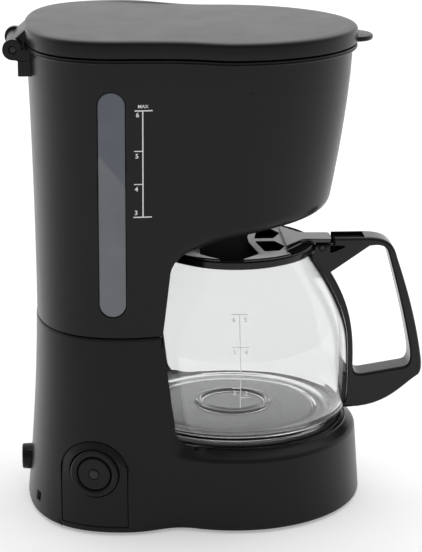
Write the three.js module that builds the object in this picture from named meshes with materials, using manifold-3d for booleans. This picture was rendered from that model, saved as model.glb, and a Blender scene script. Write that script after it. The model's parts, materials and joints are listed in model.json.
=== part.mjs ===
// Drip coffee maker: an assembly of separate solids, in millimetres, +Z up.
// Origin: middle of the footprint, on the surface it stands on. The front (jug handle) is -Y.
import * as THREE from 'three';
import { mergeVertices } from 'three/addons/utils/BufferGeometryUtils.js';
import Module from 'manifold-3d';

const wasm = await Module();
wasm.setup();
const { degToRad, lerp } = THREE.MathUtils;

// ---- Driving dimensions ----
const BASE_Z = 1.5; // underside of the lower housing
const SEAM_Z = 106; // where the two housings meet, the narrowest height
const RIM_Z = 251; // underside of the bead round the top of the upper housing
const RIM_TOP_Z = 253.4;
const LID_Z = 254; // lower edge of the lid's skirt
const TOP_Z = 262.7; // top of the lid at the front
const BACK_RISE = 2.3; // how much higher rim and lid stand at the back
const WALL = 2.4; // housing wall
const GAP = 0.3; // gap between pieces that touch

const BACK_Y = 51.3; // where the plan is widest
const HEAD_Y = -4.3; // centre of the round front of head and lid
const JUG_Y = -9.2; // axis of jug, hot plate and bay
const BAY_R = 69; // hollow between base and head
const PLATFORM_Z = 45.2; // top of the base round the hot plate
const SHOULDER_R = 8; // rounding between the platform and the base's front wall
const SHOULDER_IN = 60.4; // radius where that rounding starts
const HEAD_Z = 150; // height where head and tower meet
const WAIST_R = 46; // round front of the plan at the seam
const HEAD_FLOOR_Z = 165; // floor of the basket well
const WELL_TOP_Z = 236; // top of the wall between tank and basket well
const TANK_Z = 110; // floor of the water tank
const SPLIT_Z = 148; // where the tank tray ends and the brew well starts

const HINGE = { y: 108.2, z: 253, ear: 5.5, barrel: 5.1, inner: 19.6, outer: 24 };
const LID_PLAN = { front: 70.1, frontY: HEAD_Y, turn: 8, half: 74.5, back: 102.9, bulge: 0.7 };
const RISER = { x: 20, y: 78, r: 4.5, bore: 3 };
const OUTLET = { x: -22, y: 78 };
const PIVOT = { y: -57.1, z: 140.2 }; // hinge of the jug's lid, in the jug's handle
const PIN = { r: 1.8, bore: 1.9, jugR: 1.5, jugBore: 1.6, sides: 16 };
const HANDLE_HALF = 8; // half width of the jug's handle
const BUTTON = { y: 69.2, z: 33.5, r: 9, bezel: 13 };

const PLAN_POINTS = 36;
const ROUND = 32; // segments of a large circle
const SMALL = 10; // segments of a small one

// ---- Turning geometries into solids and back ----
function solid(geometry) {
  const bare = geometry.clone();
  bare.deleteAttribute('normal');
  bare.deleteAttribute('uv');
  const merged = mergeVertices(bare, 1e-4);
  const place = merged.attributes.position;
  const index = merged.index.array;
  const tris = [];
  for (let i = 0; i < index.length; i += 3) {
    const [a, b, c] = [index[i], index[i + 1], index[i + 2]];
    if (a !== b && b !== c && c !== a) tris.push(a, b, c);
  }
  const point = (i) => new THREE.Vector3().fromBufferAttribute(place, i);
  let volume = 0;
  for (let i = 0; i < tris.length; i += 3) {
    volume += point(tris[i]).cross(point(tris[i + 1])).dot(point(tris[i + 2]));
  }
  if (volume < 0) tris.reverse();
  const vertProperties = new Float32Array(place.array);
  return new wasm.Manifold(new wasm.Mesh({ numProp: 3, vertProperties, triVerts: new Uint32Array(tris) }));
}

const group = new THREE.Group();

function add(name, body, look, parent = group) {
  const mesh = body.getMesh();
  const geometry = new THREE.BufferGeometry();
  geometry.setAttribute('position', new THREE.BufferAttribute(new Float32Array(mesh.vertProperties), 3));
  geometry.setIndex(new THREE.BufferAttribute(new Uint32Array(mesh.triVerts), 1));
  geometry.computeVertexNormals();
  const piece = new THREE.Mesh(geometry, new THREE.MeshStandardMaterial(look));
  piece.name = name;
  parent.add(piece);
}

// ---- Basic shapes ----
const axes = {
  x: new THREE.Matrix4().set(0, 0, 1, 0, 1, 0, 0, 0, 0, 1, 0, 0, 0, 0, 0, 1), // shape lies in Y, Z
  z: new THREE.Matrix4(), // shape lies in X, Y
};

function prism(axis, shape, from, to, curveSegments = 8) {
  const geometry = new THREE.ExtrudeGeometry(shape, { depth: to - from, bevelEnabled: false, curveSegments });
  geometry.translate(0, 0, from);
  return solid(geometry.applyMatrix4(axes[axis]));
}

function box(x, y, z) {
  const geometry = new THREE.BoxGeometry(x[1] - x[0], y[1] - y[0], z[1] - z[0]);
  return solid(geometry.translate((x[0] + x[1]) / 2, (y[0] + y[1]) / 2, (z[0] + z[1]) / 2));
}

function lathe(profile, x = 0, y = 0, segments = ROUND) {
  const points = profile.map(([r, z]) => new THREE.Vector2(r, z));
  return solid(new THREE.LatheGeometry(points, segments).rotateX(Math.PI / 2).translate(x, y, 0));
}

function cylinder(r, z0, z1, x = 0, y = 0, segments = SMALL) {
  return lathe([[0, z0], [r, z0], [r, z1], [0, z1]], x, y, segments);
}

function ring(inner, outer, z0, z1, x = 0, y = 0, segments = SMALL) {
  return lathe([[inner, z0], [outer, z0], [outer, z1], [inner, z1], [inner, z0]], x, y, segments);
}

function crossCylinder(r, x0, x1, y, z, segments = SMALL) {
  const shape = new THREE.Shape().absarc(y, z, r, 0, 2 * Math.PI);
  return prism('x', shape, x0, x1, segments / 2);
}

function outlineShape(points) {
  return new THREE.Shape(points.map(([a, b]) => new THREE.Vector2(a, b)));
}

// A pipe along a smooth curve, with an even number of sides; bore 0 makes a solid rod.
function pipe(route, r, bore, steps, sides = 8) {
  const section = new THREE.Shape().absarc(0, 0, r, 0, 2 * Math.PI);
  if (bore > 0) section.holes.push(new THREE.Path().absarc(0, 0, bore, 0, 2 * Math.PI, true));
  const extrudePath = new THREE.CatmullRomCurve3(route.map((p) => new THREE.Vector3(...p)));
  return solid(new THREE.ExtrudeGeometry(section, { steps, extrudePath, curveSegments: sides / 2 }));
}

function coil(r, wire, z0, z1, turns, x, y) {
  const route = [];
  const perTurn = 8;
  for (let i = 0; i <= turns * perTurn; i += 1) {
    const angle = (2 * Math.PI * i) / perTurn;
    const z = lerp(z0 + wire, z1 - wire, i / (turns * perTurn));
    route.push([x + r * Math.cos(angle), y + r * Math.sin(angle), z]);
  }
  return pipe(route, wire, 0, turns * perTurn, 4);
}

function union(first, ...rest) {
  return rest.reduce((whole, piece) => whole.add(piece), first);
}

// ---- Plan of the housings and the lid ----
// A round front, sides that draw in and widen again, and a blunt back.
function planOutline({ front, frontY, turn, half, back, bulge = 0.66 }) {
  const a = degToRad(turn);
  const [x, y] = [front * Math.cos(a), frontY + front * Math.sin(a)];
  const reach = 0.45 * (BACK_Y - y);
  const side = new THREE.Path();
  side.absarc(0, frontY, front, -Math.PI / 2, a);
  side.bezierCurveTo(x - reach * Math.sin(a), y + reach * Math.cos(a), half, BACK_Y - reach, half, BACK_Y);
  side.bezierCurveTo(half, lerp(BACK_Y, back, bulge), bulge * half, back, 0, back);
  const right = side.getSpacedPoints(PLAN_POINTS / 2).map((p) => [p.x, p.y]);
  const left = right.slice(1, -1).reverse().map(([px, py]) => [-px, py]);
  return [...right, ...left];
}

const headRadius = (z) => 67.4 - 14.9 * Math.max(0, 1 - (z - HEAD_Z) / (LID_Z - HEAD_Z)) ** 1.5;
const baseRadius = (z) => 71 - 0.075 * z;

function insetPlan(plan, inset) {
  return { ...plan, front: plan.front - inset, half: plan.half - inset, back: plan.back - inset };
}

// The body is narrowest at the seam. Between base and head its front hides in the bay's hollow.
function bodyPlan(z, inset = 0) {
  const plan = { frontY: HEAD_Y };
  if (z < SEAM_Z) {
    const down = (SEAM_Z - z) / SEAM_Z;
    plan.half = 58.2 + 11.8 * down;
    plan.back = 99.2 + 6.5 * down ** 1.6;
    const rise = Math.max(0, (z - PLATFORM_Z) / (SEAM_Z - PLATFORM_Z));
    plan.front = lerp(baseRadius(Math.min(z, PLATFORM_Z)), WAIST_R, rise);
    plan.frontY = lerp(JUG_Y, HEAD_Y, rise);
    plan.turn = lerp(20, 0, rise);
  } else {
    const up = (z - SEAM_Z) / (RIM_TOP_Z - SEAM_Z);
    plan.half = 58.2 + 13.3 * up;
    plan.back = 98.8 + 2.9 * up ** 2;
    const rise = Math.min(1, (z - SEAM_Z) / (HEAD_Z - SEAM_Z));
    plan.front = z > HEAD_Z ? headRadius(z) : lerp(WAIST_R, headRadius(HEAD_Z), rise);
    plan.turn = z > HEAD_Z ? lerp(-2, 8, (z - HEAD_Z) / (LID_Z - HEAD_Z)) : lerp(0, -2, rise);
  }
  return insetPlan(plan, inset);
}

// Rim and lid climb from the middle to the back.
function rimRise(z, y) {
  return z < RIM_Z ? 0 : BACK_RISE * THREE.MathUtils.smoothstep(y, -5, 50);
}

// A solid through outlines at several heights, each with its points in the same order.
function loft(levels) {
  const last = levels.length - 1;
  const geometry = new THREE.CylinderGeometry(1, 1, last, PLAN_POINTS, last);
  const rings = levels.map(([, plan]) => planOutline(plan));
  const place = geometry.attributes.position;
  for (let i = 0; i < place.count; i += 1) {
    const [x, y, z] = [place.getX(i), place.getY(i), place.getZ(i)];
    const level = Math.round(y + last / 2);
    const step = Math.round((Math.atan2(x, z) / (2 * Math.PI)) * PLAN_POINTS);
    const onAxis = Math.hypot(x, z) < 0.5;
    const [px, py] = onAxis ? [0, BACK_Y / 3] : rings[level][(step + PLAN_POINTS) % PLAN_POINTS];
    place.setXYZ(i, px, py, levels[level][0] + rimRise(levels[level][0], py));
  }
  return solid(geometry);
}

const bodyLoft = (heights, inset = 0) => loft(heights.map((z) => [z, bodyPlan(z, inset)]));

// ---- Looks ----
const black = { color: 0x1b1b1c, roughness: 0.55, metalness: 0 };
const darkGrey = { color: 0x2a2a2c, roughness: 0.6, metalness: 0 };
const smoke = { color: 0x5d6470, roughness: 0.3, metalness: 0, transparent: true, opacity: 0.8 };
const glass = { color: 0xe8eeee, roughness: 0.05, metalness: 0, transparent: true, opacity: 0.3 };
const plateBlack = { color: 0x202020, roughness: 0.35, metalness: 0.3 };
const rubber = { color: 0x151515, roughness: 0.85, metalness: 0 };
const silicone = { color: 0xcfcabd, roughness: 0.5, metalness: 0 };
const aluminium = { color: 0xb8b8b6, roughness: 0.4, metalness: 1 };
const steel = { color: 0xc8c8c8, roughness: 0.25, metalness: 1 };
const white = { color: 0xd9d9d6, roughness: 0.5, metalness: 0 };
const meshNylon = { color: 0xb9a77a, roughness: 0.7, metalness: 0 };

// ---- The hollow bay and its roof ----
// Side view of the roof: it drops from the front of the head to the tower.
function underRoof(lift) {
  const shape = new THREE.Shape();
  shape.moveTo(-95, 163.5 + lift);
  shape.lineTo(-60, 163 + lift);
  shape.bezierCurveTo(-30, 162 + lift, -10, 158 + lift, 20, 151.5 + lift);
  shape.lineTo(90, 149 + lift);
  shape.lineTo(90, PLATFORM_Z);
  shape.lineTo(-95, PLATFORM_Z);
  return prism('x', shape, -95, 95, 8);
}

const bay = cylinder(BAY_R, PLATFORM_Z, 180, 0, JUG_Y, ROUND);

// The corner outside a quarter round of the given radius, cut from the front of the base only.
function shoulderCut(radius) {
  const low = PLATFORM_Z - SHOULDER_R;
  const profile = [[90, low], [90, 60], [SHOULDER_IN, 60]];
  for (let i = 0; i <= 4; i += 1) {
    const a = degToRad(90 - 22.5 * i);
    profile.push([SHOULDER_IN + radius * Math.cos(a), low + radius * Math.sin(a)]);
  }
  profile.push([90, low]);
  return lathe(profile, 0, JUG_Y).intersect(box([-95, 95], [-95, 17], [30, 70]));
}

// ---- Switch: placed square to the side wall of the base ----
function wallFrame(y, z) {
  const outline = planOutline(bodyPlan(z));
  const i = outline.findIndex((p, k) => k > 0 && p[0] > 0 && p[1] >= y);
  const [a, b] = [outline[i - 1], outline[i]];
  const t = (y - a[1]) / (b[1] - a[1]);
  const normal = new THREE.Vector3(-(b[1] - a[1]), a[0] - b[0], 0).normalize();
  return { point: new THREE.Vector3(-lerp(a[0], b[0], t), y, z), normal };
}

const switchSpot = wallFrame(BUTTON.y, BUTTON.z);
const switchGroup = new THREE.Group();
switchGroup.position.copy(switchSpot.point);
switchGroup.quaternion.setFromUnitVectors(new THREE.Vector3(0, 0, 1), switchSpot.normal);
switchGroup.updateMatrixWorld(true);
group.add(switchGroup);

const placedAtSwitch = (body) => body.transform(switchGroup.matrixWorld.toArray());

function archShape(margin) {
  const half = 17.6 - margin;
  const shape = new THREE.Shape();
  shape.moveTo(BUTTON.y - half, 4.5 + margin);
  shape.lineTo(BUTTON.y + half, 4.5 + margin);
  shape.absarc(BUTTON.y, 32.9, half, 0, Math.PI);
  return shape;
}

const stadium = (y, half, low, high) => {
  const shape = new THREE.Shape();
  shape.moveTo(y + half, low + half);
  shape.absarc(y, high - half, half, 0, Math.PI);
  shape.absarc(y, low + half, half, Math.PI, 2 * Math.PI);
  return shape;
};

// ---- Lower housing ----
const FEET = { front_left: [-42, -50], front_right: [42, -50], back_left: [-46, 80], back_right: [46, 80] };
const SCREWS = [[-57.5, -9.2], [57.5, -9.2], [-38, 93], [38, 93]];

function lowerHousing() {
  const levels = [24, PLATFORM_Z, 76];
  let shell = bodyLoft([BASE_Z, ...levels, SEAM_Z]);
  shell = shell.subtract(bay).subtract(shoulderCut(SHOULDER_R));
  let hollow = bodyLoft([0, ...levels, SEAM_Z + 2], WALL);
  hollow = hollow.subtract(cylinder(BAY_R + WALL, PLATFORM_Z - WALL, 180, 0, JUG_Y, ROUND));
  hollow = hollow.subtract(shoulderCut(SHOULDER_R - WALL));
  shell = shell.subtract(hollow);
  const well = cylinder(60.2, 38, 50, 0, JUG_Y, ROUND);
  const ledge = lathe([[54, 38.5], [62.6, 38.5], [62.6, 44], [60.2, 44], [60.2, 41.2], [54, 41.2],
    [54, 38.5]], 0, JUG_Y);
  shell = shell.subtract(well).add(ledge);
  for (const [x, y] of SCREWS) {
    shell = shell.add(cylinder(y > 0 ? 3.2 : 4, 4.6, y > 0 ? 24 : 39, x, y, 8));
    shell = shell.subtract(cylinder(1.7, 4, 16, x, y, 8));
  }
  shell = shell.subtract(prism('x', archShape(0), -80, -40, 10));
  shell = shell.subtract(box([-5.8, 5.8], [90, 115], [14, 26])); // way out for the cord block
  for (const side of [-1, 1]) {
    shell = shell.subtract(box([side * 36 - 2.5, side * 36 + 2.5], [94, 110], [8, 13])); // latch slots
  }
  return shell;
}
add('lower_housing', lowerHousing(), black);

function bottomPlate() {
  const plan = bodyPlan(4, WALL + GAP + 0.2);
  let plate = loft([[1.8, plan], [4.2, plan]]);
  for (const [x, y] of Object.values(FEET)) plate = plate.subtract(cylinder(3.3, 0, 6, x, y, 8));
  for (const [x, y] of SCREWS) plate = plate.subtract(cylinder(1.8, 0, 6, x, y, 8));
  return plate;
}
add('bottom_plate', bottomPlate(), darkGrey);

for (const [corner, [x, y]] of Object.entries(FEET)) {
  const profile = [[0, 0], [6.4, 0], [7.4, 1.5], [3, 1.5], [3, 5.4], [0, 5.4]];
  add(`foot_${corner}`, lathe(profile, x, y, SMALL), rubber);
}

SCREWS.forEach(([x, y], i) => {
  const profile = [[0, 0.5], [3, 0.5], [3, 1.5], [1.4, 1.5], [1.4, 14], [0, 14]];
  add(`bottom_screw_${i + 1}`, lathe(profile, x, y, 8), steel);
});

// ---- Hot plate and heater ----
const plateProfile = [[0, 43.8], [56.8, 43.8], [56.8, 41.6], [58.4, 41.6], [58.4, 44.6], [57.8, 45.2],
  [0, 45.2]];
add('hot_plate', lathe(plateProfile, 0, JUG_Y), plateBlack);
add('plate_seal', ring(58.7, 59.9, 41.5, 44.2, 0, JUG_Y, ROUND), rubber);

function heatingElement() {
  const route = [[-16, 45, 33], [-16.4, 38, 33.4]];
  for (let a = 120; a <= 420; a += 30) {
    route.push([38 * Math.cos(degToRad(a)), JUG_Y + 38 * Math.sin(degToRad(a)), 38]);
  }
  route.push([16.4, 38, 33.4], [16, 45, 33]);
  return pipe(route, 4.9, 3, 26, 6);
}
add('heating_element', heatingElement(), aluminium);
add('element_clamp', box([-46, 46], [JUG_Y - 6, JUG_Y + 6], [29.8, 32.4]), steel);
add('thermostat', cylinder(8, 36, 43.4, 0, JUG_Y), steel);
add('thermal_fuse', crossCylinder(2.2, 12, 24, JUG_Y + 12, 40.6, 8), white);

// ---- Water way ----
add('tank_outlet_seal', lathe([[3.2, 103.6], [5.6, 103.6], [5.6, TANK_Z + GAP], [8, TANK_Z + GAP],
  [8, 112], [3.2, 112], [3.2, 103.6]], OUTLET.x, OUTLET.y, SMALL), silicone);
add('check_valve', ring(2.5, 5.6, 90, 103.3, OUTLET.x, OUTLET.y), white);
add('cold_hose', pipe([[OUTLET.x, OUTLET.y, 89.7], [OUTLET.x, OUTLET.y, 56], [-20, 71, 36], [-17, 56, 33],
  [-16, 46, 33]], 4.5, 3, 11, 6), silicone);
add('hot_hose', pipe([[16, 46, 33], [17, 56, 33], [19, 71, 36], [RISER.x, RISER.y, 56],
  [RISER.x, RISER.y, 91.7]], 4.5, 3, 11, 6), silicone);
add('riser_tube', ring(RISER.bore, RISER.r, 92, 236, RISER.x, RISER.y), white);
add('riser_grommet', lathe([[4.8, 104.5], [6.6, 104.5], [6.6, TANK_Z + GAP], [9, TANK_Z + GAP], [9, 112],
  [4.8, 112], [4.8, 104.5]], RISER.x, RISER.y, SMALL), silicone);
add('spout_arm', pipe([[RISER.x, RISER.y, 236.4], [RISER.x, RISER.y, 240.4], [18.6, 72, 244.4], [13, 48, 244.4],
  [6, 18, 244.4], [1, -3, 244.4], [0, JUG_Y, 239.5]], 4, 2.6, 14, 6), darkGrey);

// ---- Upper housing: an outer skin, with a tank tray and a brew well fixed inside it ----
const HEAD_LEVELS = [HEAD_Z, 172, 200, WELL_TOP_Z];
const wellProfile = (grow, levels) => levels.map((z) => [headRadius(z) + grow, z]);

function hingeEars() {
  const shape = new THREE.Shape();
  shape.moveTo(97.5, 246.4);
  shape.lineTo(HINGE.y, HINGE.z - HINGE.ear);
  shape.absarc(HINGE.y, HINGE.z, HINGE.ear, -Math.PI / 2, Math.PI * 0.8);
  shape.lineTo(103.4, 253.3);
  shape.lineTo(97.5, 253.3);
  const ear = prism('x', shape, HINGE.inner, HINGE.outer, 8);
  const rib = box([HINGE.inner, HINGE.outer], [97.5, 105.8], [239, 246.6]);
  const right = union(ear, rib).subtract(crossCylinder(PIN.bore, 10, 30, HINGE.y, HINGE.z, PIN.sides));
  return union(right, right.mirror([1, 0, 0]));
}

function upperHousing() {
  const bottom = SEAM_Z + 0.4;
  let shell = bodyLoft([bottom, ...HEAD_LEVELS, RIM_Z]);
  shell = shell.subtract(bay.intersect(underRoof(0)));
  shell = shell.subtract(cylinder(50, 140, 162.4, 0, JUG_Y, ROUND));
  shell = shell.add(loft([[RIM_Z, insetPlan(LID_PLAN, 0.8)], [RIM_TOP_Z, insetPlan(LID_PLAN, 0.8)]]));
  const tower = cylinder(BAY_R + WALL, 100, 190, 0, JUG_Y, ROUND).intersect(underRoof(WALL));
  const wellOuter = lathe([[0, 150], ...wellProfile(0, HEAD_LEVELS), [0, WELL_TOP_Z]], 0, HEAD_Y);
  let tank = bodyLoft([TANK_Z, ...HEAD_LEVELS, 258], WALL);
  tank = tank.subtract(tower).subtract(wellOuter);
  const levels = [HEAD_FLOOR_Z, 186, 210, WELL_TOP_Z + 1];
  const well = lathe([[0, HEAD_FLOOR_Z], ...wellProfile(-WALL, levels), [0, WELL_TOP_Z + 1]], 0, HEAD_Y);
  shell = shell.subtract(tank).subtract(well);
  shell = shell.subtract(cylinder(12.5, 155, 170, 0, JUG_Y, 20)); // way through for the drip valve
  shell = shell.subtract(cylinder(5.9, 100, 115, OUTLET.x, OUTLET.y));
  shell = shell.subtract(cylinder(6.9, 100, 115, RISER.x, RISER.y));
  shell = shell.subtract(prism('x', stadium(58.5, 7.2, 118, 239), -80, -50, 8));
  const ears = hingeEars().subtract(bodyLoft([230, RIM_Z, 258], WALL / 2));
  const heights = [100, ...HEAD_LEVELS, RIM_Z, 258];
  const inner = shell.intersect(bodyLoft(heights, WALL + GAP));
  const largest = (body) => body.decompose().reduce((a, b) => (a.volume() > b.volume() ? a : b));
  return {
    skin: shell.subtract(bodyLoft(heights, WALL)).add(ears),
    tray: largest(inner.intersect(box([-90, 90], [-90, 120], [100, SPLIT_Z]))),
    well: largest(inner.intersect(box([-90, 90], [-90, 120], [SPLIT_Z + GAP, 260]))),
  };
}
const upper = upperHousing();
add('upper_housing', upper.skin, black);
add('tank_tray', upper.tray, darkGrey);
add('brew_well', upper.well, darkGrey);

function levelWindow() {
  const heights = [115, 180, 242];
  const skin = bodyLoft(heights, 0.4).subtract(bodyLoft(heights, 2.2));
  return skin.intersect(prism('x', stadium(58.5, 7.2 - GAP, 118 + GAP, 239 - GAP), -80, -50, 8));
}
add('level_window', levelWindow(), smoke);

add('hinge_pin', crossCylinder(PIN.r, -23.4, 23.4, HINGE.y, HINGE.z, PIN.sides), steel);

// ---- Switch parts ----
function switchPanel() {
  const heights = [4, 24, PLATFORM_Z, 66];
  const skin = bodyLoft(heights, 0.5).subtract(bodyLoft(heights, 2.3));
  const panel = skin.intersect(prism('x', archShape(0.35), -80, -40, 10));
  return panel.subtract(placedAtSwitch(cylinder(BUTTON.bezel + GAP, -20, 20, 0, 0, 20)));
}
add('switch_panel', switchPanel(), black);
add('switch_bezel', lathe([[BUTTON.r + 0.5, -5], [BUTTON.bezel, -5], [BUTTON.bezel, 0.4], [12.2, 1],
  [10.4, 1], [BUTTON.r + 0.5, 0.3], [BUTTON.r + 0.5, -5]], 0, 0, 20), black, switchGroup);
add('power_button', lathe([[0, -4], [3.2, -4], [3.2, -7], [4.6, -7], [4.6, -4], [BUTTON.r, -4],
  [BUTTON.r, 0.9], [8.2, 1.5], [2.9, 1.2], [2.9, 0.2], [0, 0.2]], 0, 0, 20), black, switchGroup);
add('button_lens', cylinder(2.6, 0.5, 1.6), smoke, switchGroup);
add('button_spring', coil(2.2, 0.45, -12.4, -4.3, 4, 0, 0), steel, switchGroup);
add('switch_body', box([-8, 8], [-10, 10], [-27, -12.7]), darkGrey, switchGroup);

// ---- Cord outlet and inner wiring ----
function cordOutlet() {
  const flange = lathe([[0, 100], [7.1, 100], [7.1, 107.8], [6.1, 108.8], [0, 108.8]], 0, 0, 20);
  const outside = flange.rotate([-90, 0, 0]).translate([0, 0, 20]).subtract(bodyLoft([5, 20, 40], -GAP));
  const neck = box([-5.4, 5.4], [97, 106], [14.4, 25.6]);
  const bore = lathe([[0, 90], [3.6, 90], [3.6, 115], [0, 115]], 0, 0, 10).rotate([-90, 0, 0]);
  return outside.add(neck).subtract(bore.translate([0, 0, 20]));
}
add('cord_outlet', cordOutlet(), black);
add('live_wire', pipe([[-1.6, 96.6, 19], [-12, 88, 13], [-26, 80, 16], [-35.4, 77, 28]], 1.3, 0, 10, 6),
  { ...rubber, color: 0x6b4a2f });
add('neutral_wire', pipe([[1.6, 96.6, 19], [6, 80, 12], [6, 40, 14], [4, 14, 30], [2, 5, 39.5], [2, -0.5, 39.5]],
  1.3, 0, 14, 6), { ...rubber, color: 0x2f4a6b });

// ---- Lid ----
function lid() {
  const shell = loft([[LID_Z, LID_PLAN], [TOP_Z - 1.6, insetPlan(LID_PLAN, 0.2)],
    [TOP_Z - 0.5, insetPlan(LID_PLAN, 1)], [TOP_Z, insetPlan(LID_PLAN, 2.4)]]);
  const hollow = loft([[250, insetPlan(LID_PLAN, 2.2)], [TOP_Z - 2.2, insetPlan(LID_PLAN, 2.2)]]);
  const tab = new THREE.Shape().absellipse(0, -73, 13.5, 9.8, Math.PI, 2 * Math.PI);
  const tongue = new THREE.Shape();
  tongue.moveTo(98.5, LID_Z + BACK_RISE + GAP);
  tongue.lineTo(103.4, LID_Z + BACK_RISE + GAP);
  tongue.absarc(HINGE.y, HINGE.z, HINGE.barrel, Math.PI * 0.9, Math.PI * 2.5);
  tongue.lineTo(101, 263.4);
  tongue.lineTo(98.5, 263.4);
  const hinge = prism('x', tongue, -HINGE.inner + 0.4, HINGE.inner - 0.4, 8);
  const pinHole = crossCylinder(PIN.bore, -30, 30, HINGE.y, HINGE.z, PIN.sides);
  const rim = shell.subtract(hollow);
  return union(rim, prism('z', tab, LID_Z, LID_Z + 2.6, 8), hinge).subtract(pinHole);
}
add('lid', lid(), black);

function lidInnerPanel() {
  const cup = lathe([[0, 256.4], [53, 256.4], [54, 249.6], [56, 249.6], [56, 257.5], [59, 258.6], [59, 260.1],
    [0, 260.1]], 0, HEAD_Y);
  return cup;
}
add('lid_inner_panel', lidInnerPanel(), darkGrey);

// ---- Filter basket, filter and drip valve ----
const BASKET_TOP = 226;
const NOSE = { outer: 10.5, inner: 7.6, low: 156.5, seat: 158.5 };

function filterBasket() {
  const cone = lathe([[0, 165.4], [34, 165.4], [49, 176], [59.6, 223], [62, 224.4], [62, BASKET_TOP],
    [58, BASKET_TOP], [47.2, 177.2], [33.2, 167.4], [0, 167.4]], 0, HEAD_Y);
  const nose = cylinder(NOSE.outer, NOSE.low, 167, 0, JUG_Y, 20);
  const bridge = box([-9.4, 9.4], [JUG_Y - 2.6, JUG_Y + 2.6], [166, 174]);
  const bore = lathe([[0, 150], [4.2, 150], [4.2, NOSE.seat], [NOSE.inner, NOSE.seat], [NOSE.inner, 172],
    [2.5, 172], [2.5, 180], [0, 180]], 0, JUG_Y, 20);
  return union(cone, nose, bridge).subtract(bore);
}
add('filter_basket', filterBasket(), darkGrey);

function meshFilter() {
  return lathe([[0, 176], [36, 176], [45.6, 181], [57, 226.4], [60.5, 226.4], [60.5, 228], [56, 228],
    [44.6, 182], [35.6, 177.2], [0, 177.2]], 0, HEAD_Y);
}
add('mesh_filter', meshFilter(), meshNylon);
add('filter_handle', pipe([[-14, HEAD_Y, 177.4], [-13, HEAD_Y, 190], [0, HEAD_Y, 199], [13, HEAD_Y, 190],
  [14, HEAD_Y, 177.4]], 1.6, 0, 10, 6), darkGrey);

add('drip_valve', lathe([[0, 150.2], [2.6, 150.2], [3.6, 151.4], [3.6, 160], [6.8, 160], [6.8, 162.2],
  [2, 162.2], [2, 169.6], [0, 169.6]], 0, JUG_Y, SMALL), white);
add('valve_seal', ring(3.9, 6.8, 158.8, 159.7, 0, JUG_Y), silicone);
add('valve_spring', coil(4.4, 0.5, 162.5, 171.7, 4, 0, JUG_Y), steel);

// ---- Jug ----
const glassOuter = [[44, 47.4], [47, 45.6], [53, 45.6], [61, 49.4], [63.2, 58],
  [63.2, 84], [60.8, 100], [54, 117], [44.4, 132.8], [41.2, 139], [41, 142.4]];
const glassInner = [[38.8, 142.4], [39, 139], [42.4, 132], [52, 116], [58.6, 99.4],
  [61, 84], [61, 59], [59.2, 52], [54, 49.4]];
add('glass_jug', lathe([[0, 47.4], ...glassOuter, ...glassInner, [0, 49.4]], 0, JUG_Y), glass);
add('jug_collar', ring(41.5, 43.6, 138.7, 142.5, 0, JUG_Y, ROUND), black);

function jugHandle() {
  const side = new THREE.Shape();
  side.moveTo(-46, 142);
  side.lineTo(-63.2, 142);
  side.lineTo(-63.2, 145.6);
  side.lineTo(-80, 145.6);
  side.bezierCurveTo(-91, 145.6, -96.2, 143.6, -98.6, 134);
  side.bezierCurveTo(-102.5, 122.5, -109.2, 103, -113, 79);
  side.bezierCurveTo(-114.1, 72.5, -114.3, 68, -112.2, 66);
  side.bezierCurveTo(-102, 59, -95, 48, -73.7, 47.6);
  side.lineTo(-40, 47.6);
  const gap = new THREE.Path();
  gap.moveTo(-62, 125.9);
  gap.lineTo(-83.2, 140.6);
  gap.bezierCurveTo(-89.4, 141.6, -92.4, 140.6, -93.6, 136.5);
  gap.bezierCurveTo(-97.2, 124, -102.6, 104, -105.7, 88);
  gap.bezierCurveTo(-108.6, 74.6, -107.6, 71.6, -103, 71);
  gap.lineTo(-80.6, 67.4);
  gap.bezierCurveTo(-76.6, 67, -75.3, 68.6, -75.3, 73);
  gap.bezierCurveTo(-75.6, 92, -73.5, 108, -62, 125.9);
  side.holes.push(gap);
  let handle = prism('x', side, -HANDLE_HALF, HANDLE_HALF, 5);
  const room = [...glassOuter.slice(2).map(([r, z]) => [r + 0.4, z]).filter(([, z]) => z < 138)];
  const jugRoom = lathe([[0, 40], [52.4, 40], ...room, [44.2, 137.6], [44.2, 142.8], [45.8, 142.8],
    [45.8, 160], [0, 160]], 0, JUG_Y);
  handle = handle.subtract(jugRoom);
  handle = handle.subtract(box([-4.5, 4.5], [-63.2, -40], [133, 155])); // slot for the lid's lever
  handle = handle.subtract(box([-6, 6], [-80.5, -60], [142.6, 155])); // thumb recess
  handle = handle.subtract(box([-3.3, 3.3], [-73.4, -60], [45, 51.8])); // seat of the foot clip
  const pocket = outlineShape([[-61.4, 141.2], [-71, 141.2], [-61.4, 137.2]]);
  handle = handle.subtract(prism('x', pocket, -9, -6.6)).subtract(prism('x', pocket, 6.6, 9));
  return handle.subtract(crossCylinder(PIN.jugBore, -12, 12, PIVOT.y, PIVOT.z, PIN.sides));
}
add('jug_handle', jugHandle(), black);
add('handle_clip', box([-3, 3], [-73.1, -72.1], [48.2, 51.5]), steel);

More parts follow.
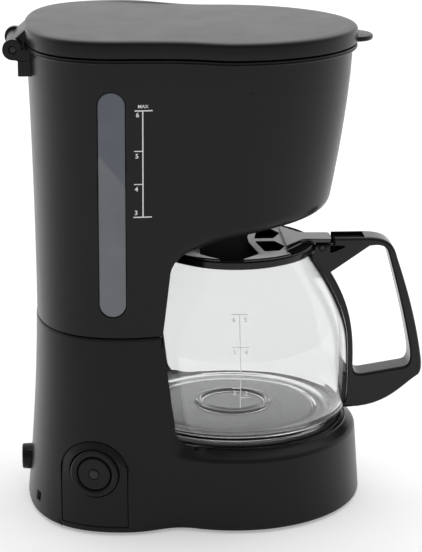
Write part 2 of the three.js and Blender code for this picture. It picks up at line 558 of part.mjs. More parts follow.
function jugLid() {
  const disc = lathe([[0, 139.2], [32.6, 139.2], [34.6, 142], [36.4, 142], [36.4, 136.8], [38.1, 136.8],
    [38.1, 142.9], [43.4, 142.9], [43.4, 144.2], [42.4, 145], [34.2, 145], [31.6, 140.8], [0, 140.8]],
  0, JUG_Y);
  const web = outlineShape([[-22, -35], [22, -35], [7.4, -46], [7.4, -62.2], [-7.4, -62.2], [-7.4, -46]]);
  const webSide = outlineShape([[-62.2, 142.9], [-36, 142.9], [-36, 145.5], [-62.2, 145.1]]);
  const lever = prism('z', web, 130, 160).intersect(prism('x', webSide, -30, 30));
  const lugSide = new THREE.Shape();
  lugSide.moveTo(-53.8, 144);
  lugSide.lineTo(-60.4, 144);
  lugSide.absarc(PIVOT.y, PIVOT.z, 3.3, Math.PI, 2 * Math.PI);
  const lug = prism('x', lugSide, -4, 4, 6);
  const rib = box([-1.2, 1.2], [-33, 33], [140, 144.4]).rotate([0, 0, 40]).translate([0, JUG_Y, 0]);
  const whole = union(disc, lever, lug, rib.intersect(cylinder(33, 130, 150, 0, JUG_Y, 20)));
  return whole.subtract(crossCylinder(PIN.jugBore, -12, 12, PIVOT.y, PIVOT.z, PIN.sides));
}
add('jug_lid', jugLid(), black);
add('jug_lid_pin', crossCylinder(PIN.jugR, -8.3, 8.3, PIVOT.y, PIVOT.z, PIN.sides), steel);

export default group;
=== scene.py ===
"""Looks of a drip coffee maker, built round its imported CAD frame.

Lengths below are in millimetres and become metres when a mesh is made. The frame's axes are
+Z up, -Y to the front (jug handle) and -X to the side that the camera sees.
"""

import json
import math

import bmesh
import bpy
import numpy as np
from mathutils import Matrix, Vector
from mathutils.geometry import tessellate_polygon


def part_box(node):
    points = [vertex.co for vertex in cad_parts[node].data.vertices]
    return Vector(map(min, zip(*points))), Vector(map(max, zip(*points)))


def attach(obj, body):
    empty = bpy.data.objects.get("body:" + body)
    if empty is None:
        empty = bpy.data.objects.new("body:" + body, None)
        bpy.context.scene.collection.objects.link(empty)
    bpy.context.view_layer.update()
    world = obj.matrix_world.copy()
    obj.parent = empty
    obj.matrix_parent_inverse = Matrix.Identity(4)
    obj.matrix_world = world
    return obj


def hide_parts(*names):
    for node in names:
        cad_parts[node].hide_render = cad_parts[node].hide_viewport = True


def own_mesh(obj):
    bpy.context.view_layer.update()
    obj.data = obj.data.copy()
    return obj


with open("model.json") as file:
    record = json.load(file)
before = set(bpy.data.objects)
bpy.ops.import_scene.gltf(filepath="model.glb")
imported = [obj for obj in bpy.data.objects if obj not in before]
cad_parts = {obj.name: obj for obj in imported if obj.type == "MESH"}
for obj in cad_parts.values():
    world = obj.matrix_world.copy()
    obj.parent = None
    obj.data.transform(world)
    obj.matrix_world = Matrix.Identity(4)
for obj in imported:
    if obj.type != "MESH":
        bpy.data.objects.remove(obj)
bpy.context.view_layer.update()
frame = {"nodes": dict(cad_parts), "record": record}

MM = 0.001
PI = math.pi


def node_mm(node):
    """Lowest and highest corner of a CAD node, in millimetres."""
    low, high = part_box(node)
    return low / MM, high / MM


# ---- Driving dimensions, read from the frame where a node states them ----
BASE_Z = node_mm("lower_housing")[0].z
SEAM_Z = 106.0
SEAM_GAP = node_mm("upper_housing")[0].z - SEAM_Z
LID_Z = 254.0
TOP_Z = 262.7
BACK_RISE = node_mm("lid")[1].z - TOP_Z  # how much higher rim and lid stand at the back
RIM_Z = 251.0
RIM_TOP_Z = 253.4
WALL = 2.4
GAP = 0.3  # clearance between neighbouring CAD pieces
SEAM_HALF, BASE_SPLAY, TOP_SPLAY = 58.2, 11.8, 13.3  # half width at the seam, what it gains down and up
SEAM_BACK, BASE_BACK, TOP_BACK, BACK_STEP = 99.2, 6.5, 2.9, 0.4  # the back wall likewise, and its step
BASE_R, BASE_TAPER = 71.0, 0.075  # round front of the base, and how fast it narrows upwards
HEAD_R, HEAD_TAPER = 67.4, 14.9  # round front of the head at the lid, and what it loses downwards
LID_R, LID_HALF, LID_BACK = 70.1, 74.5, 102.9
BACK_Y = 51.3  # where the plan is widest
HEAD_Y = -4.3  # centre of the round front of head and lid
JUG_Y = -9.2  # axis of jug, hot plate and bay
BAY_R, PLATE_WELL_R = 69.0, 60.2
PLATFORM_Z = 45.2
SHOULDER_R = 8.0
HEAD_Z = 150.0
HEAD_EDGE = 8.0  # rounding under the front of the head
WAIST_R = 46.0
HEAD_FLOOR_Z = 165.0
WELL_TOP_Z = 236.0
TANK_Z = 110.0
HINGE_Y, HINGE_Z, HINGE_IN, HINGE_OUT = 108.2, 253.0, 19.6, 24.0
HINGE_PIN_R, HINGE_BORE_R = 1.8, 1.9
PIVOT_Y, PIVOT_Z, PIVOT_PIN_R = -57.1, 140.2, 1.5
HANDLE_HALF = 8.0
BUTTON_Y, BUTTON_Z, BUTTON_R, BEZEL_R = 69.2, 33.5, 9.0, 13.0
WINDOW_Y, WINDOW_HALF, WINDOW_LOW, WINDOW_HIGH = 58.5, 7.2, 118.0, 239.0
NEAR_WALL = (-80, -50)  # range of X that holds the window's wall
CORD_Z, LATCH_X = 20.0, 36.0
RISER_X, OUTLET_X, PIPE_Y = 20.0, -22.0, 78.0
PLAN = 168  # points round the plan of a housing
ROUND = 128  # segments of a large circle
NODE_SLOT = {entry["node"]: entry["material_slot"] for entry in frame["record"]["subparts"]}


# ---- Plane curves ----
def lerp(a, b, t):
    return a + (b - a) * t


def smooth(t):
    t = min(1.0, max(0.0, t))
    return t * t * (3 - 2 * t)


def arc(x, y, r, start, end, steps):
    """Points on a circle, angles in degrees."""
    angles = [math.radians(lerp(start, end, i / steps)) for i in range(steps + 1)]
    return [(x + r * math.cos(a), y + r * math.sin(a)) for a in angles]


def bezier(p0, p1, p2, p3, steps=12):
    out = []
    for i in range(1, steps + 1):
        t = i / steps
        w = ((1 - t) ** 3, 3 * t * (1 - t) ** 2, 3 * t * t * (1 - t), t ** 3)
        out.append(tuple(sum(k * p[j] for k, p in zip(w, (p0, p1, p2, p3))) for j in (0, 1)))
    return out


def spread(points, count):
    """The same line as count + 1 points at even spacing."""
    p = np.array(points, float)
    length = np.concatenate([[0], np.cumsum(np.hypot(*np.diff(p, axis=0).T))])
    at = np.linspace(0, length[-1], count + 1)
    return np.stack([np.interp(at, length, p[:, 0]), np.interp(at, length, p[:, 1])], 1)


def rounded(points, radius, steps=4, closed=False):
    """An outline with its corners turned into arcs; radius is one number, or one for each point."""
    pts = [Vector(p) for p in points]
    radii = radius if isinstance(radius, (list, tuple)) else [radius] * len(pts)
    out = []
    for i, p in enumerate(pts):
        ends = not closed and i in (0, len(pts) - 1)
        before, after = pts[i - 1] - p, pts[(i + 1) % len(pts)] - p
        if ends or radii[i] <= 0 or before.length < 1e-6 or after.length < 1e-6:
            out.append(tuple(p))
            continue
        half = before.angle(after) / 2
        if half > PI / 2 - 0.06:
            out.append(tuple(p))
            continue
        reach = min(radii[i] / math.tan(half), 0.48 * before.length, 0.48 * after.length)
        start, end = p + before.normalized() * reach, p + after.normalized() * reach
        for k in range(steps + 1):
            t = k / steps
            out.append(tuple(start * (1 - t) ** 2 + p * 2 * t * (1 - t) + end * t * t))
    return out


def flowing(points, steps=6):
    """A smooth curve through all the points."""
    p = [Vector(q) for q in points]
    p = [p[0] * 2 - p[1], *p, p[-1] * 2 - p[-2]]
    out = []
    for i in range(1, len(p) - 2):
        a, b, c, d = p[i - 1:i + 3]
        for k in range(steps):
            t = k / steps
            out.append(tuple(0.5 * (b * 2 + (c - a) * t + (a * 2 - b * 5 + c * 4 - d) * t ** 2
                                    + (b * 3 - a - c * 3 + d) * t ** 3)))
    return [*out, tuple(p[-2])]


# ---- Meshes ----
def add_object(name, data):
    obj = bpy.data.objects.new(name, data)
    bpy.context.scene.collection.objects.link(obj)
    return obj


def mesh_object(name, points, faces, uvs=None):
    mesh = bpy.data.meshes.new(name)
    mesh.from_pydata([tuple(c * MM for c in p) for p in points], [], faces)
    if uvs is not None:
        layer = mesh.uv_layers.new(name="uv")
        for loop in mesh.loops:
            layer.data[loop.index].uv = uvs[loop.vertex_index]
    bm = bmesh.new()
    bm.from_mesh(mesh)
    bmesh.ops.recalc_face_normals(bm, faces=bm.faces)
    bm.to_mesh(mesh)
    bm.free()
    return add_object(name, mesh)


def bands(n, rings, first=0, wrap=False):
    """Four-sided faces between rings of n points, and from the last to the first if wrapped."""
    faces = []
    for k in range(rings if wrap else rings - 1):
        low, high = first + k * n, first + (k + 1) % rings * n
        for i in range(n):
            j = (i + 1) % n
            faces.append((low + i, low + j, high + j, high + i))
    return faces


def rows_solid(name, rows, wrap=False):
    """A closed solid through rows of equally many points, with flat ends or wrapped to its first row."""
    n = len(rows[0])
    points = [p for row in rows for p in row]
    faces = bands(n, len(rows), wrap=wrap)
    if not wrap:
        faces = [tuple(reversed(range(n))), *faces, tuple(range(len(points) - n, len(points)))]
    return mesh_object(name, points, faces)


def lathe(name, profile, x=0.0, y=0.0, segments=ROUND, place=None):
    """A profile of (radius, height) points turned about a vertical axis; place moves it after."""
    closed = profile[0] == profile[-1]
    rim = profile[:-1] if closed else profile
    points, uvs, rings, run = [], [], [], 0.0
    for k, (r, z) in enumerate(rim):
        run += math.dist(rim[k - 1], rim[k]) if k else 0.0
        count = 1 if r < 1e-6 else segments
        rings.append(list(range(len(points), len(points) + count)))
        for i in range(count):
            a = 2 * PI * i / segments
            points.append((r * math.cos(a), r * math.sin(a), z))
            uvs.append((i / segments, run * MM))
    faces = []
    for k in range(len(rings) if closed else len(rings) - 1):
        low, high = rings[k], rings[(k + 1) % len(rings)]
        for i in range(segments):
            j = (i + 1) % segments
            corners = [low[i % len(low)], low[j % len(low)], high[j % len(high)], high[i % len(high)]]
            face = list(dict.fromkeys(corners))
            if len(face) > 2:
                faces.append(tuple(face))
    move = Matrix.Translation((x, y, 0)) if place is None else place
    return mesh_object(name, [tuple(move @ Vector(p)) for p in points], faces, uvs)


def ring_profile(inner, outer, low, high, edge, steps):
    """The section of a flat ring with rounded edges, for lathe."""
    corners = rounded([(inner, low), (outer, low), (outer, high), (inner, high)], edge, steps, closed=True)
    return [*corners, corners[0]]


def offset(loop, distance):
    """A closed line moved to its left, which is into the material."""
    p = np.array(loop, float)
    ahead, behind = np.roll(p, -1, axis=0) - p, p - np.roll(p, 1, axis=0)
    ahead /= np.linalg.norm(ahead, axis=1)[:, None]
    behind /= np.linalg.norm(behind, axis=1)[:, None]
    along = ahead + behind
    along /= np.linalg.norm(along, axis=1)[:, None]
    stretch = np.clip((along * ahead).sum(1), 0.5, 1)
    normal = np.stack([-along[:, 1], along[:, 0]], 1) / stretch[:, None]
    return p + normal * distance


def area(loop):
    p = np.array(loop, float)
    q = np.roll(p, -1, axis=0)
    return (p[:, 0] * q[:, 1] - q[:, 0] * p[:, 1]).sum() / 2


def slab(name, outline, low, high, edge=0.0, hole=None, axis="x"):
    """A plate with rounded edges. Its outline lies in Y, Z for axis x and in X, Y for axis z."""
    steps = 4
    loops = [outline if area(outline) > 0 else outline[::-1]]
    if hole is not None:
        loops.append(hole if area(hole) < 0 else hole[::-1])
    turns = [math.radians(90 * k / steps) for k in range(steps + 1)] if edge > 0 else [PI / 2]
    levels = [(edge * (1 - math.sin(t)), low + edge * (1 - math.cos(t))) for t in turns]
    levels += [(d, high + low - h) for d, h in reversed(levels)]
    points, faces, caps = [], [], ([], [])
    for loop in loops:
        n, first = len(loop), len(points)
        for d, h in levels:
            ring = offset(loop, d) if d > 0 else np.array(loop, float)
            points += [(h, a, b) if axis == "x" else (a, b, h) for a, b in ring]
        faces += bands(n, len(levels), first)
        caps[0].append(range(first, first + n))
        caps[1].append(range(len(points) - n, len(points)))
    for cap in caps:
        order = [i for ring in cap for i in ring]
        plane = slice(1, 3) if axis == "x" else slice(0, 2)
        flat = [[Vector((*points[i][plane], 0)) for i in ring] for ring in cap]
        faces += [tuple(order[i] for i in triangle) for triangle in tessellate_polygon(flat)]
    return mesh_object(name, points, faces)


def block(name, x, y, z, edge=0.0):
    return slab(name, [(y[0], z[0]), (y[1], z[0]), (y[1], z[1]), (y[0], z[1])], x[0], x[1], edge)


def cylinder(name, r, z0, z1, x=0.0, y=0.0, segments=48):
    return lathe(name, [(0, z0), (r, z0), (r, z1), (0, z1)], x, y, segments)


def cross_cylinder(name, r, x0, x1, y, z, edge=0.0):
    """A cylinder along X."""
    return slab(name, arc(y, z, r, 0, 360, 40)[:-1], x0, x1, edge)


def tube(name, route, r, bore=0.0, sides=24, steps=8):
    """A round pipe along a smooth route; bore 0 makes a rod."""
    line = [Vector(p) for p in flowing(route, steps)]
    normal = Vector((0, 0, 1)) if abs((line[1] - line[0]).normalized().z) < 0.9 else Vector((1, 0, 0))
    angles = [2 * PI * i / sides for i in range(sides)]
    outside, inside = [], []
    for k, p in enumerate(line):
        ahead = (line[min(k + 1, len(line) - 1)] - line[max(k - 1, 0)]).normalized()
        normal = (normal - ahead * normal.dot(ahead)).normalized()
        side = ahead.cross(normal)
        spokes = [normal * math.cos(a) + side * math.sin(a) for a in angles]
        outside.append([tuple(p + spoke * r) for spoke in spokes])
        inside.append([tuple(p + spoke * bore) for spoke in spokes])
    if bore == 0:
        return rows_solid(name, outside)
    return rows_solid(name, outside + inside[::-1], wrap=True)


def combine(obj, operation, *tools):
    """Joins tools to obj, cuts them from it or keeps what they share; the tools are used up."""
    for tool in tools:
        step = obj.modifiers.new("step", "BOOLEAN")
        step.object = tool
        step.operation = operation
        step.solver = "MANIFOLD"
        graph = bpy.context.evaluated_depsgraph_get()
        mesh = bpy.data.meshes.new_from_object(obj.evaluated_get(graph))
        obj.modifiers.clear()
        old = obj.data
        obj.data = mesh
        bpy.data.meshes.remove(old)
        bpy.data.objects.remove(tool)
    return obj


def cut(obj, *tools):
    return combine(obj, "DIFFERENCE", *tools)


def join(obj, *tools):
    return combine(obj, "UNION", *tools)


def keep(obj, *tools):
    return combine(obj, "INTERSECT", *tools)


def place(obj, matrix):
    """Moves a mesh by a matrix whose lengths are millimetres."""
    move = matrix.copy()
    move.translation *= MM
    obj.data.transform(move)


def tidy_mesh(obj):
    """Merges points that a cut left side by side."""
    bm = bmesh.new()
    bm.from_mesh(obj.data)
    bmesh.ops.remove_doubles(bm, verts=bm.verts, dist=0.03 * MM)
    bmesh.ops.dissolve_degenerate(bm, dist=0.01 * MM, edges=bm.edges)
    bm.to_mesh(obj.data)
    bm.free()


def show(obj, material, body, nodes=(), edge=0.0, angle=32):
    """Finishes a visible piece: soft edges, shading, material, and its place in the frame.

    A piece that stands for CAD nodes hides them.
    """
    tidy_mesh(obj)
    if edge > 0:
        soft = obj.modifiers.new("edge", "BEVEL")
        soft.width = edge * MM
        soft.segments = 2
        soft.limit_method = "ANGLE"
        soft.angle_limit = math.radians(40)
        soft.use_clamp_overlap = False
    obj.data.shade_smooth()
    obj.data.set_sharp_from_angle(angle=math.radians(angle))
    if edge > 0:
        weigh = obj.modifiers.new("weigh", "WEIGHTED_NORMAL")
        weigh.keep_sharp = True
    obj.data.materials.clear()
    obj.data.materials.append(material)
    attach(obj, body)
    if nodes:
        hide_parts(*nodes)


def turned(name, profile, material, body, node, x=0.0, y=JUG_Y, segments=ROUND, place=None):
    """A visible round piece that stands for one CAD node."""
    show(lathe(name, profile, x, y, segments, place), material, body, [node])


# ---- Materials ----
class Nodes:
    """A material's node tree, with a short way to add linked nodes."""

    def __init__(self, name):
        self.material = bpy.data.materials.new(name)
        self.material.use_nodes = True
        self.tree = self.material.node_tree
        self.shader = self.tree.nodes["Principled BSDF"]
        self.coords = self.tree.nodes.new("ShaderNodeTexCoord")

    def add(self, kind, inputs=None, **settings):
        node = self.tree.nodes.new("ShaderNode" + kind)
        for key, value in settings.items():
            setattr(node, key, value)
        for key, value in (inputs or {}).items():
            if isinstance(value, bpy.types.NodeSocket):
                self.tree.links.new(value, node.inputs[key])
            else:
                node.inputs[key].default_value = value
        return node

    def noise(self, size, detail=3.0, stretch=(1, 1, 1)):
        """Noise whose features are about size millimetres across."""
        scale = self.add("Mapping", {"Vector": self.coords.outputs["Object"], "Scale": stretch})
        inputs = {"Vector": scale.outputs[0], "Scale": 1 / (size * MM), "Detail": detail, "Roughness": 0.55}
        return self.add("TexNoise", inputs).outputs["Fac"]

    def span(self, value, low, high, start=0.3, end=0.7):
        """The value between start and end, stretched to run from low to high."""
        inputs = {"Value": value, "From Min": start, "From Max": end, "To Min": low, "To Max": high}
        return self.add("MapRange", inputs).outputs[0]

    def blend(self, factor, first, second):
        """A colour between two, by factor."""
        ramp = self.add("ValToRGB", {"Fac": factor})
        ramp.color_ramp.elements[0].color = (*first, 1)
        ramp.color_ramp.elements[1].color = (*second, 1)
        return ramp.outputs["Color"]

    def bump(self, height, depth, strength=1.0):
        return self.add("Bump", {"Height": height, "Distance": depth * MM, "Strength": strength}).outputs[0]

    def set(self, **inputs):
        """Sets or links the shader's sockets, and hands back the finished material."""
        for key, value in inputs.items():
            socket = self.shader.inputs[key.replace("_", " ")]
            if isinstance(value, bpy.types.NodeSocket):
                self.tree.links.new(value, socket)
            else:
                socket.default_value = value
        return self.material


def moulded(name, dark, light, rough, grain=0.45, depth=0.012, shine=0.5):
    """Moulded plastic: a fine spark-eroded grain, slow shifts of tone and gloss."""
    n = Nodes(name)
    tone = n.span(n.noise(35, 4), 0, 1)
    gloss = n.span(n.noise(18, 3), rough - 0.015, rough + 0.02)
    grained = n.bump(n.noise(grain, 2), depth)
    return n.set(Base_Color=n.blend(tone, dark, light), Roughness=gloss, Normal=grained,
                 Specular_IOR_Level=shine)


def metal(name, dark, light, rough, stretch, grain=0.8):
    n = Nodes(name)
    lines = n.noise(grain, 4, stretch)
    tone = n.span(n.noise(14, 3), 0, 1)
    return n.set(Metallic=1.0, Base_Color=n.blend(tone, dark, light),
                 Roughness=n.span(lines, rough - 0.06, rough + 0.1), Normal=n.bump(lines, 0.004))


def glass_material():
    n = Nodes("jug_glass")
    ripple = n.noise(38, 1, (1, 1, 0.6))
    smear = n.span(n.noise(22, 4), 0.0, 0.02, 0.45, 0.75)
    return n.set(Base_Color=(0.872, 0.879, 0.876, 1), Transmission_Weight=1.0, IOR=1.45,
                 Roughness=smear, Normal=n.bump(ripple, 0.02, 0.5))


def window_material():
    """Smoked translucent plastic whose colour paints the light and shade of the tank seen through it:
    lighter below a slanted line, darker and bluer above it.
    """
    n = Nodes("level_window")
    slope, border, blur = 1.25, 0.1245, 0.001  # the border runs at a slant, Z = border + slope * Y
    axes = n.add("SeparateXYZ", {"Vector": n.coords.outputs["Object"]})
    along = n.add("Math", {0: axes.outputs["Y"], 1: -slope}, operation="MULTIPLY")
    line = n.add("Math", {0: axes.outputs["Z"], 1: along.outputs[0]}, operation="ADD")
    # painted light and shade: above this slanted line the window takes the darker, bluer tone, below it the
    # lighter one
    painted_shade_mask = n.span(line.outputs[0], 0, 1, border - blur, border + blur)
    cloud = n.span(n.noise(16, 1), 0, 1)
    lower = n.blend(cloud, (0.105, 0.112, 0.125), (0.125, 0.132, 0.145))
    upper = n.blend(cloud, (0.066, 0.074, 0.098), (0.082, 0.09, 0.115))
    mix = n.add("Mix", {"Factor": painted_shade_mask, "A": lower, "B": upper}, data_type="RGBA")
    return n.set(Base_Color=mix.outputs["Result"], Roughness=n.span(n.noise(25), 0.28, 0.32),
                 Normal=n.bump(n.noise(0.6, 2), 0.006), Coat_Weight=0.2, Coat_Roughness=0.1)


def mesh_material():
    """Woven nylon: two sets of threads with open gaps between them."""
    n = Nodes("nylon_mesh")
    uv = n.coords.outputs["UV"]
    threads = []
    for direction, scale in (("X", 70.0), ("Y", 370.0)):  # X runs once round, Y in metres
        inputs = {"Vector": uv, "Scale": scale, "Distortion": 0.15, "Detail": 0.0}
        wave = n.add("TexWave", inputs, wave_type="BANDS", bands_direction=direction)
        threads.append(wave.outputs["Fac"])
    weave = n.add("Math", {0: threads[0], 1: threads[1]}, operation="MAXIMUM").outputs[0]
    color = n.blend(weave, (0.2, 0.14, 0.05), (0.62, 0.5, 0.28))
    return n.set(Base_Color=color, Roughness=n.span(n.noise(3), 0.45, 0.6), Normal=n.bump(weave, 0.12),
                 Alpha=n.span(weave, 0.55, 1.0, 0.25, 0.5))


def ink_material():
    n = Nodes("scale_ink")
    tone = 0.85
    worn = n.span(n.noise(0.5, 3), 0, 1)
    color = n.blend(worn, (tone * 0.86,) * 3, (tone, tone, tone))
    return n.set(Base_Color=color, Roughness=n.span(n.noise(1.5), 0.4, 0.55))


def floor_material():
    n = Nodes("studio_floor")
    tone = n.span(n.noise(400, 3), 0, 1)
    return n.set(Base_Color=n.blend(tone, (0.92, 0.92, 0.92), (0.94, 0.94, 0.94)), Roughness=0.9,
                 Emission_Color=(1, 1, 1, 1), Emission_Strength=0.34)


BLACK = moulded("black_plastic", (0.0062, 0.0062, 0.0065), (0.0078, 0.0078, 0.0081), 0.3, shine=0.19)
LID_BLACK = moulded("lid_plastic", (0.0085, 0.0085, 0.0088), (0.0092, 0.0092, 0.0095),
                    0.3, 0.6, 0.006, 0.16)
GLOSS = moulded("handle_plastic", (0.004, 0.004, 0.004), (0.0055, 0.0055, 0.0056), 0.2, 0.8, 0.004, 0.3)
JUG_BLACK = moulded("jug_lid_plastic", (0.006, 0.006, 0.006), (0.0075, 0.0075, 0.0077),
                    0.22, 0.8, 0.004, 0.7)
# painted shade: a near-black, matte, barely reflective plastic, laid as thin sheets on the floors of pockets
# and recesses
PAINTED_SHADE = moulded("painted_shade_plastic", (0.0015, 0.0015, 0.0015), (0.0025, 0.0025, 0.0025), 0.85, shine=0.05)
DARK = moulded("dark_plastic", (0.016, 0.016, 0.017), (0.022, 0.022, 0.024), 0.5)
WHITE = moulded("white_plastic", (0.62, 0.62, 0.6), (0.7, 0.7, 0.68), 0.45)
RUBBER = moulded("rubber", (0.006, 0.006, 0.006), (0.01, 0.01, 0.01), 0.75, 0.3, 0.03)
SILICONE = moulded("silicone", (0.5, 0.48, 0.42), (0.6, 0.58, 0.52), 0.5, 1.2, 0.02)
COATING = moulded("plate_coating", (0.014, 0.014, 0.0145), (0.02, 0.02, 0.0205), 0.38, 0.25, 0.006, 0.12)
STEEL = metal("steel", (0.5, 0.5, 0.5), (0.62, 0.62, 0.62), 0.28, (1, 1, 0.06))
PIN_STEEL = metal("pin_steel", (0.03, 0.03, 0.032), (0.045, 0.045, 0.048), 0.34, (1, 1, 0.06))
ALUMINIUM = metal("aluminium", (0.48, 0.48, 0.49), (0.6, 0.6, 0.61), 0.42, (1, 1, 1), 1.6)
WIRE_BROWN = moulded("wire_brown", (0.1, 0.05, 0.025), (0.14, 0.07, 0.035), 0.5)
WIRE_BLUE = moulded("wire_blue", (0.025, 0.05, 0.12), (0.035, 0.07, 0.16), 0.5)
GLASS = glass_material()
WINDOW = window_material()
LENS = moulded("button_lens", (0.012, 0.012, 0.013), (0.017, 0.017, 0.019), 0.3, 0.8, 0.004, 0.3)
MESH = mesh_material()
INK = ink_material()

SLOT_LOOKS = {
    "black_plastic": BLACK, "dark_plastic": DARK, "white_plastic": WHITE, "rubber": RUBBER,
    "silicone": SILICONE, "steel": STEEL, "pin_steel": PIN_STEEL, "aluminium": ALUMINIUM,
    "plate_coating": COATING, "smoke_window": WINDOW, "lens": LENS, "nylon_mesh": MESH,
    "clear_glass": GLASS, "wire_brown": WIRE_BROWN, "wire_blue": WIRE_BLUE,
}


def dress_cad_nodes():
    """Every CAD node gets its slot's finished material, the hidden ones too."""
    for node, slot in NODE_SLOT.items():
        materials = frame["nodes"][node].data.materials
        materials.clear()
        materials.append(SLOT_LOOKS[slot])


# ---- Plan of the housings and the lid, as in the CAD ----
def plan_outline(front, front_y, turn, half, back, bulge=0.66):
    """PLAN points: a round front that ends at turn degrees, a waist on each side, a squarish back."""
    a = math.radians(turn)
    x, y = front * math.cos(a), front_y + front * math.sin(a)
    reach = 0.45 * (BACK_Y - y)
    side = arc(0, front_y, front, -90, turn, 60)
    side += bezier((x, y), (x - reach * math.sin(a), y + reach * math.cos(a)), (half, BACK_Y - reach),
                   (half, BACK_Y), 40)
    side += bezier((half, BACK_Y), (half, lerp(BACK_Y, back, bulge)), (bulge * half, back), (0, back), 60)
    right = spread(side, PLAN // 2)
    left = right[-2:0:-1] * (-1, 1)
    return np.concatenate([right, left])


def head_radius(z):
    """The round front tapers down from the lid, faster towards the bottom."""
    return HEAD_R - HEAD_TAPER * max(0.0, 1 - (z - HEAD_Z) / (LID_Z - HEAD_Z)) ** 1.5


def base_radius(z):
    return BASE_R - BASE_TAPER * z


def body_outline(z, inset=0.0):
    """The plan of the housings at a height, moved in by inset."""
    if z < SEAM_Z:
        down = (SEAM_Z - z) / SEAM_Z
        rise = max(0.0, (z - PLATFORM_Z) / (SEAM_Z - PLATFORM_Z))
        half, back = SEAM_HALF + BASE_SPLAY * down, SEAM_BACK + BASE_BACK * down ** 1.6
        front = lerp(base_radius(min(z, PLATFORM_Z)), WAIST_R, rise)
        front_y, turn = lerp(JUG_Y, HEAD_Y, rise), lerp(20, 0, rise)
    else:
        up = (z - SEAM_Z) / (RIM_TOP_Z - SEAM_Z)
        rise = min(1.0, (z - SEAM_Z) / (HEAD_Z - SEAM_Z))
        half, back, front_y = SEAM_HALF + TOP_SPLAY * up, SEAM_BACK - BACK_STEP + TOP_BACK * up ** 2, HEAD_Y
        front = head_radius(z) if z > HEAD_Z else lerp(WAIST_R, head_radius(HEAD_Z), rise)
        turn = lerp(-2, 8, (z - HEAD_Z) / (LID_Z - HEAD_Z)) if z > HEAD_Z else lerp(0, -2, rise)
    return plan_outline(front - inset, front_y, turn, half - inset, back - inset)


def lid_outline(inset=0.0):
    return plan_outline(LID_R - inset, HEAD_Y, 8, LID_HALF - inset, LID_BACK - inset, 0.7)


def rim_rise(y, z):
    """Rim and lid climb from the middle to the back; the wall below takes this up."""
    return BACK_RISE * smooth((y + 5) / 55) * smooth((z - 238) / (RIM_Z - 238))


def level(outline, z):
    return [(x, y, z + rim_rise(y, z)) for x, y in outline]


class Skin:
    """The housings' outer surface, looked up between finely spaced heights."""

    def __init__(self, low, high, step=2.0):
        self.z = np.linspace(low, high, int((high - low) / step) + 1)
        self.plans = np.array([body_outline(z) for z in self.z])

    def points(self, heights):
        """One point of the plan for each height given, heights being as long as the plan."""
        at = np.clip((heights - self.z[0]) / (self.z[1] - self.z[0]), 0, len(self.z) - 1.001)
        k = at.astype(int)
        t = (at - k)[:, None]
        i = np.arange(PLAN)
        return self.plans[k, i] * (1 - t) + self.plans[k + 1, i] * t

    def side(self, y, z, lift=0.0):
        """The point of the surface on the -X side at that y and z, moved out by lift."""
        plan = self.points(np.full(PLAN, float(z)))
        half = plan[: PLAN // 2 + 1]
        start = int(np.argmax(half[:, 0] > 30))  # past the round front, so that Y only grows
        x = np.interp(y, half[start:, 1], half[start:, 0])
        return (-x - lift, y, z)


LOWER_SKIN = Skin(0, SEAM_Z)
UPPER_SKIN = Skin(SEAM_Z, RIM_TOP_Z)


def inward(plan, distance):
    """A plan moved inwards by a distance, one for all points or one for each."""
    p = np.array(plan, float)
    along = np.roll(p, -1, axis=0) - np.roll(p, 1, axis=0)
    along /= np.linalg.norm(along, axis=1)[:, None]
    normal = np.stack([-along[:, 1], along[:, 0]], 1)
    return p + normal * np.reshape(distance, (-1, 1))


def body_rows(heights, inset):
    return [level(body_outline(z, inset), z) for z in heights]


def rounding(radius, steps=5):
    """(inset, height) pairs up a quarter round, from the flat to the wall."""
    turns = [math.radians(90 * k / steps) for k in range(steps + 1)]
    return [(radius * (1 - math.sin(t)), radius * (1 - math.cos(t))) for t in turns]


# ---- The bay ----
ROOF_LINE = [(-95, 163.5), (-60, 163), *bezier((-60, 163), (-30, 162), (-10, 158), (20, 151.5), 24),
             (90, 149)]


def roof_z(y):
    ys, zs = zip(*ROOF_LINE)
    return np.interp(y, ys, zs)


def bay_cutter(radius, bottom, lift=0.0, fillet=0.0, foot=0.0):
    """The hollow between base and head: a cylinder whose top follows the roof."""
    angles = np.linspace(0, 2 * PI, ROUND, endpoint=False)
    foot_line = rounding(foot) if foot > 0 else [(0, 0)]
    rings = [(radius - d, bottom + h, None) for d, h in foot_line]
    rings += [(radius, None, fillet + 12), (radius, None, fillet + 5)]
    rings += [(radius - d, None, h) for d, h in reversed(rounding(max(fillet, 0.01), 6))]
    rings += [(radius * part, None, 0.0) for part in (0.85, 0.7, 0.55, 0.4, 0.25, 0.1)]
    rows = []
    for r, z, drop in rings:
        x, y = r * np.cos(angles), JUG_Y + r * np.sin(angles)
        heights = np.full(ROUND, z) if drop is None else roof_z(y) + lift - drop
        rows.append(list(zip(x, y, heights)))
    return rows_solid("bay", rows)


# ---- Lower housing ----
FEET = {"front_left": (-42, -50), "front_right": (42, -50), "back_left": (-46, 80), "back_right": (46, 80)}
SCREWS = [(-57.5, -9.2), (57.5, -9.2), (-38, 93), (38, 93)]


def arch(margin, steps=24):
    half = 17.6 - margin
    return [(BUTTON_Y - half, 4.5 + margin), (BUTTON_Y + half, 4.5 + margin),
            *arc(BUTTON_Y, 32.9, half, 0, 180, steps)]


def shoulder_rows(inset):
    """Rows from under the sloping shoulder to above it; the slope fades out along the sides."""
    slope = [(38.4, 0), (39.2, 0.015), (40, 0.05), (40.7, 0.115), (41.5, 0.22), (43.3, 0.56),
             (PLATFORM_Z, 1)]
    above = [(50, 1), (54, 1), (57, 0.78), (60.5, 0.22), (64, 0)]
    rows = []
    for z, share in [(z - inset, share) for z, share in slope] + above:
        plan = body_outline(z, inset)
        fade = np.array([1 - smooth((y - 6) / 22) for _, y in plan])
        rows.append(level(inward(plan, (SHOULDER_R - inset) * share * fade), z))
    return rows


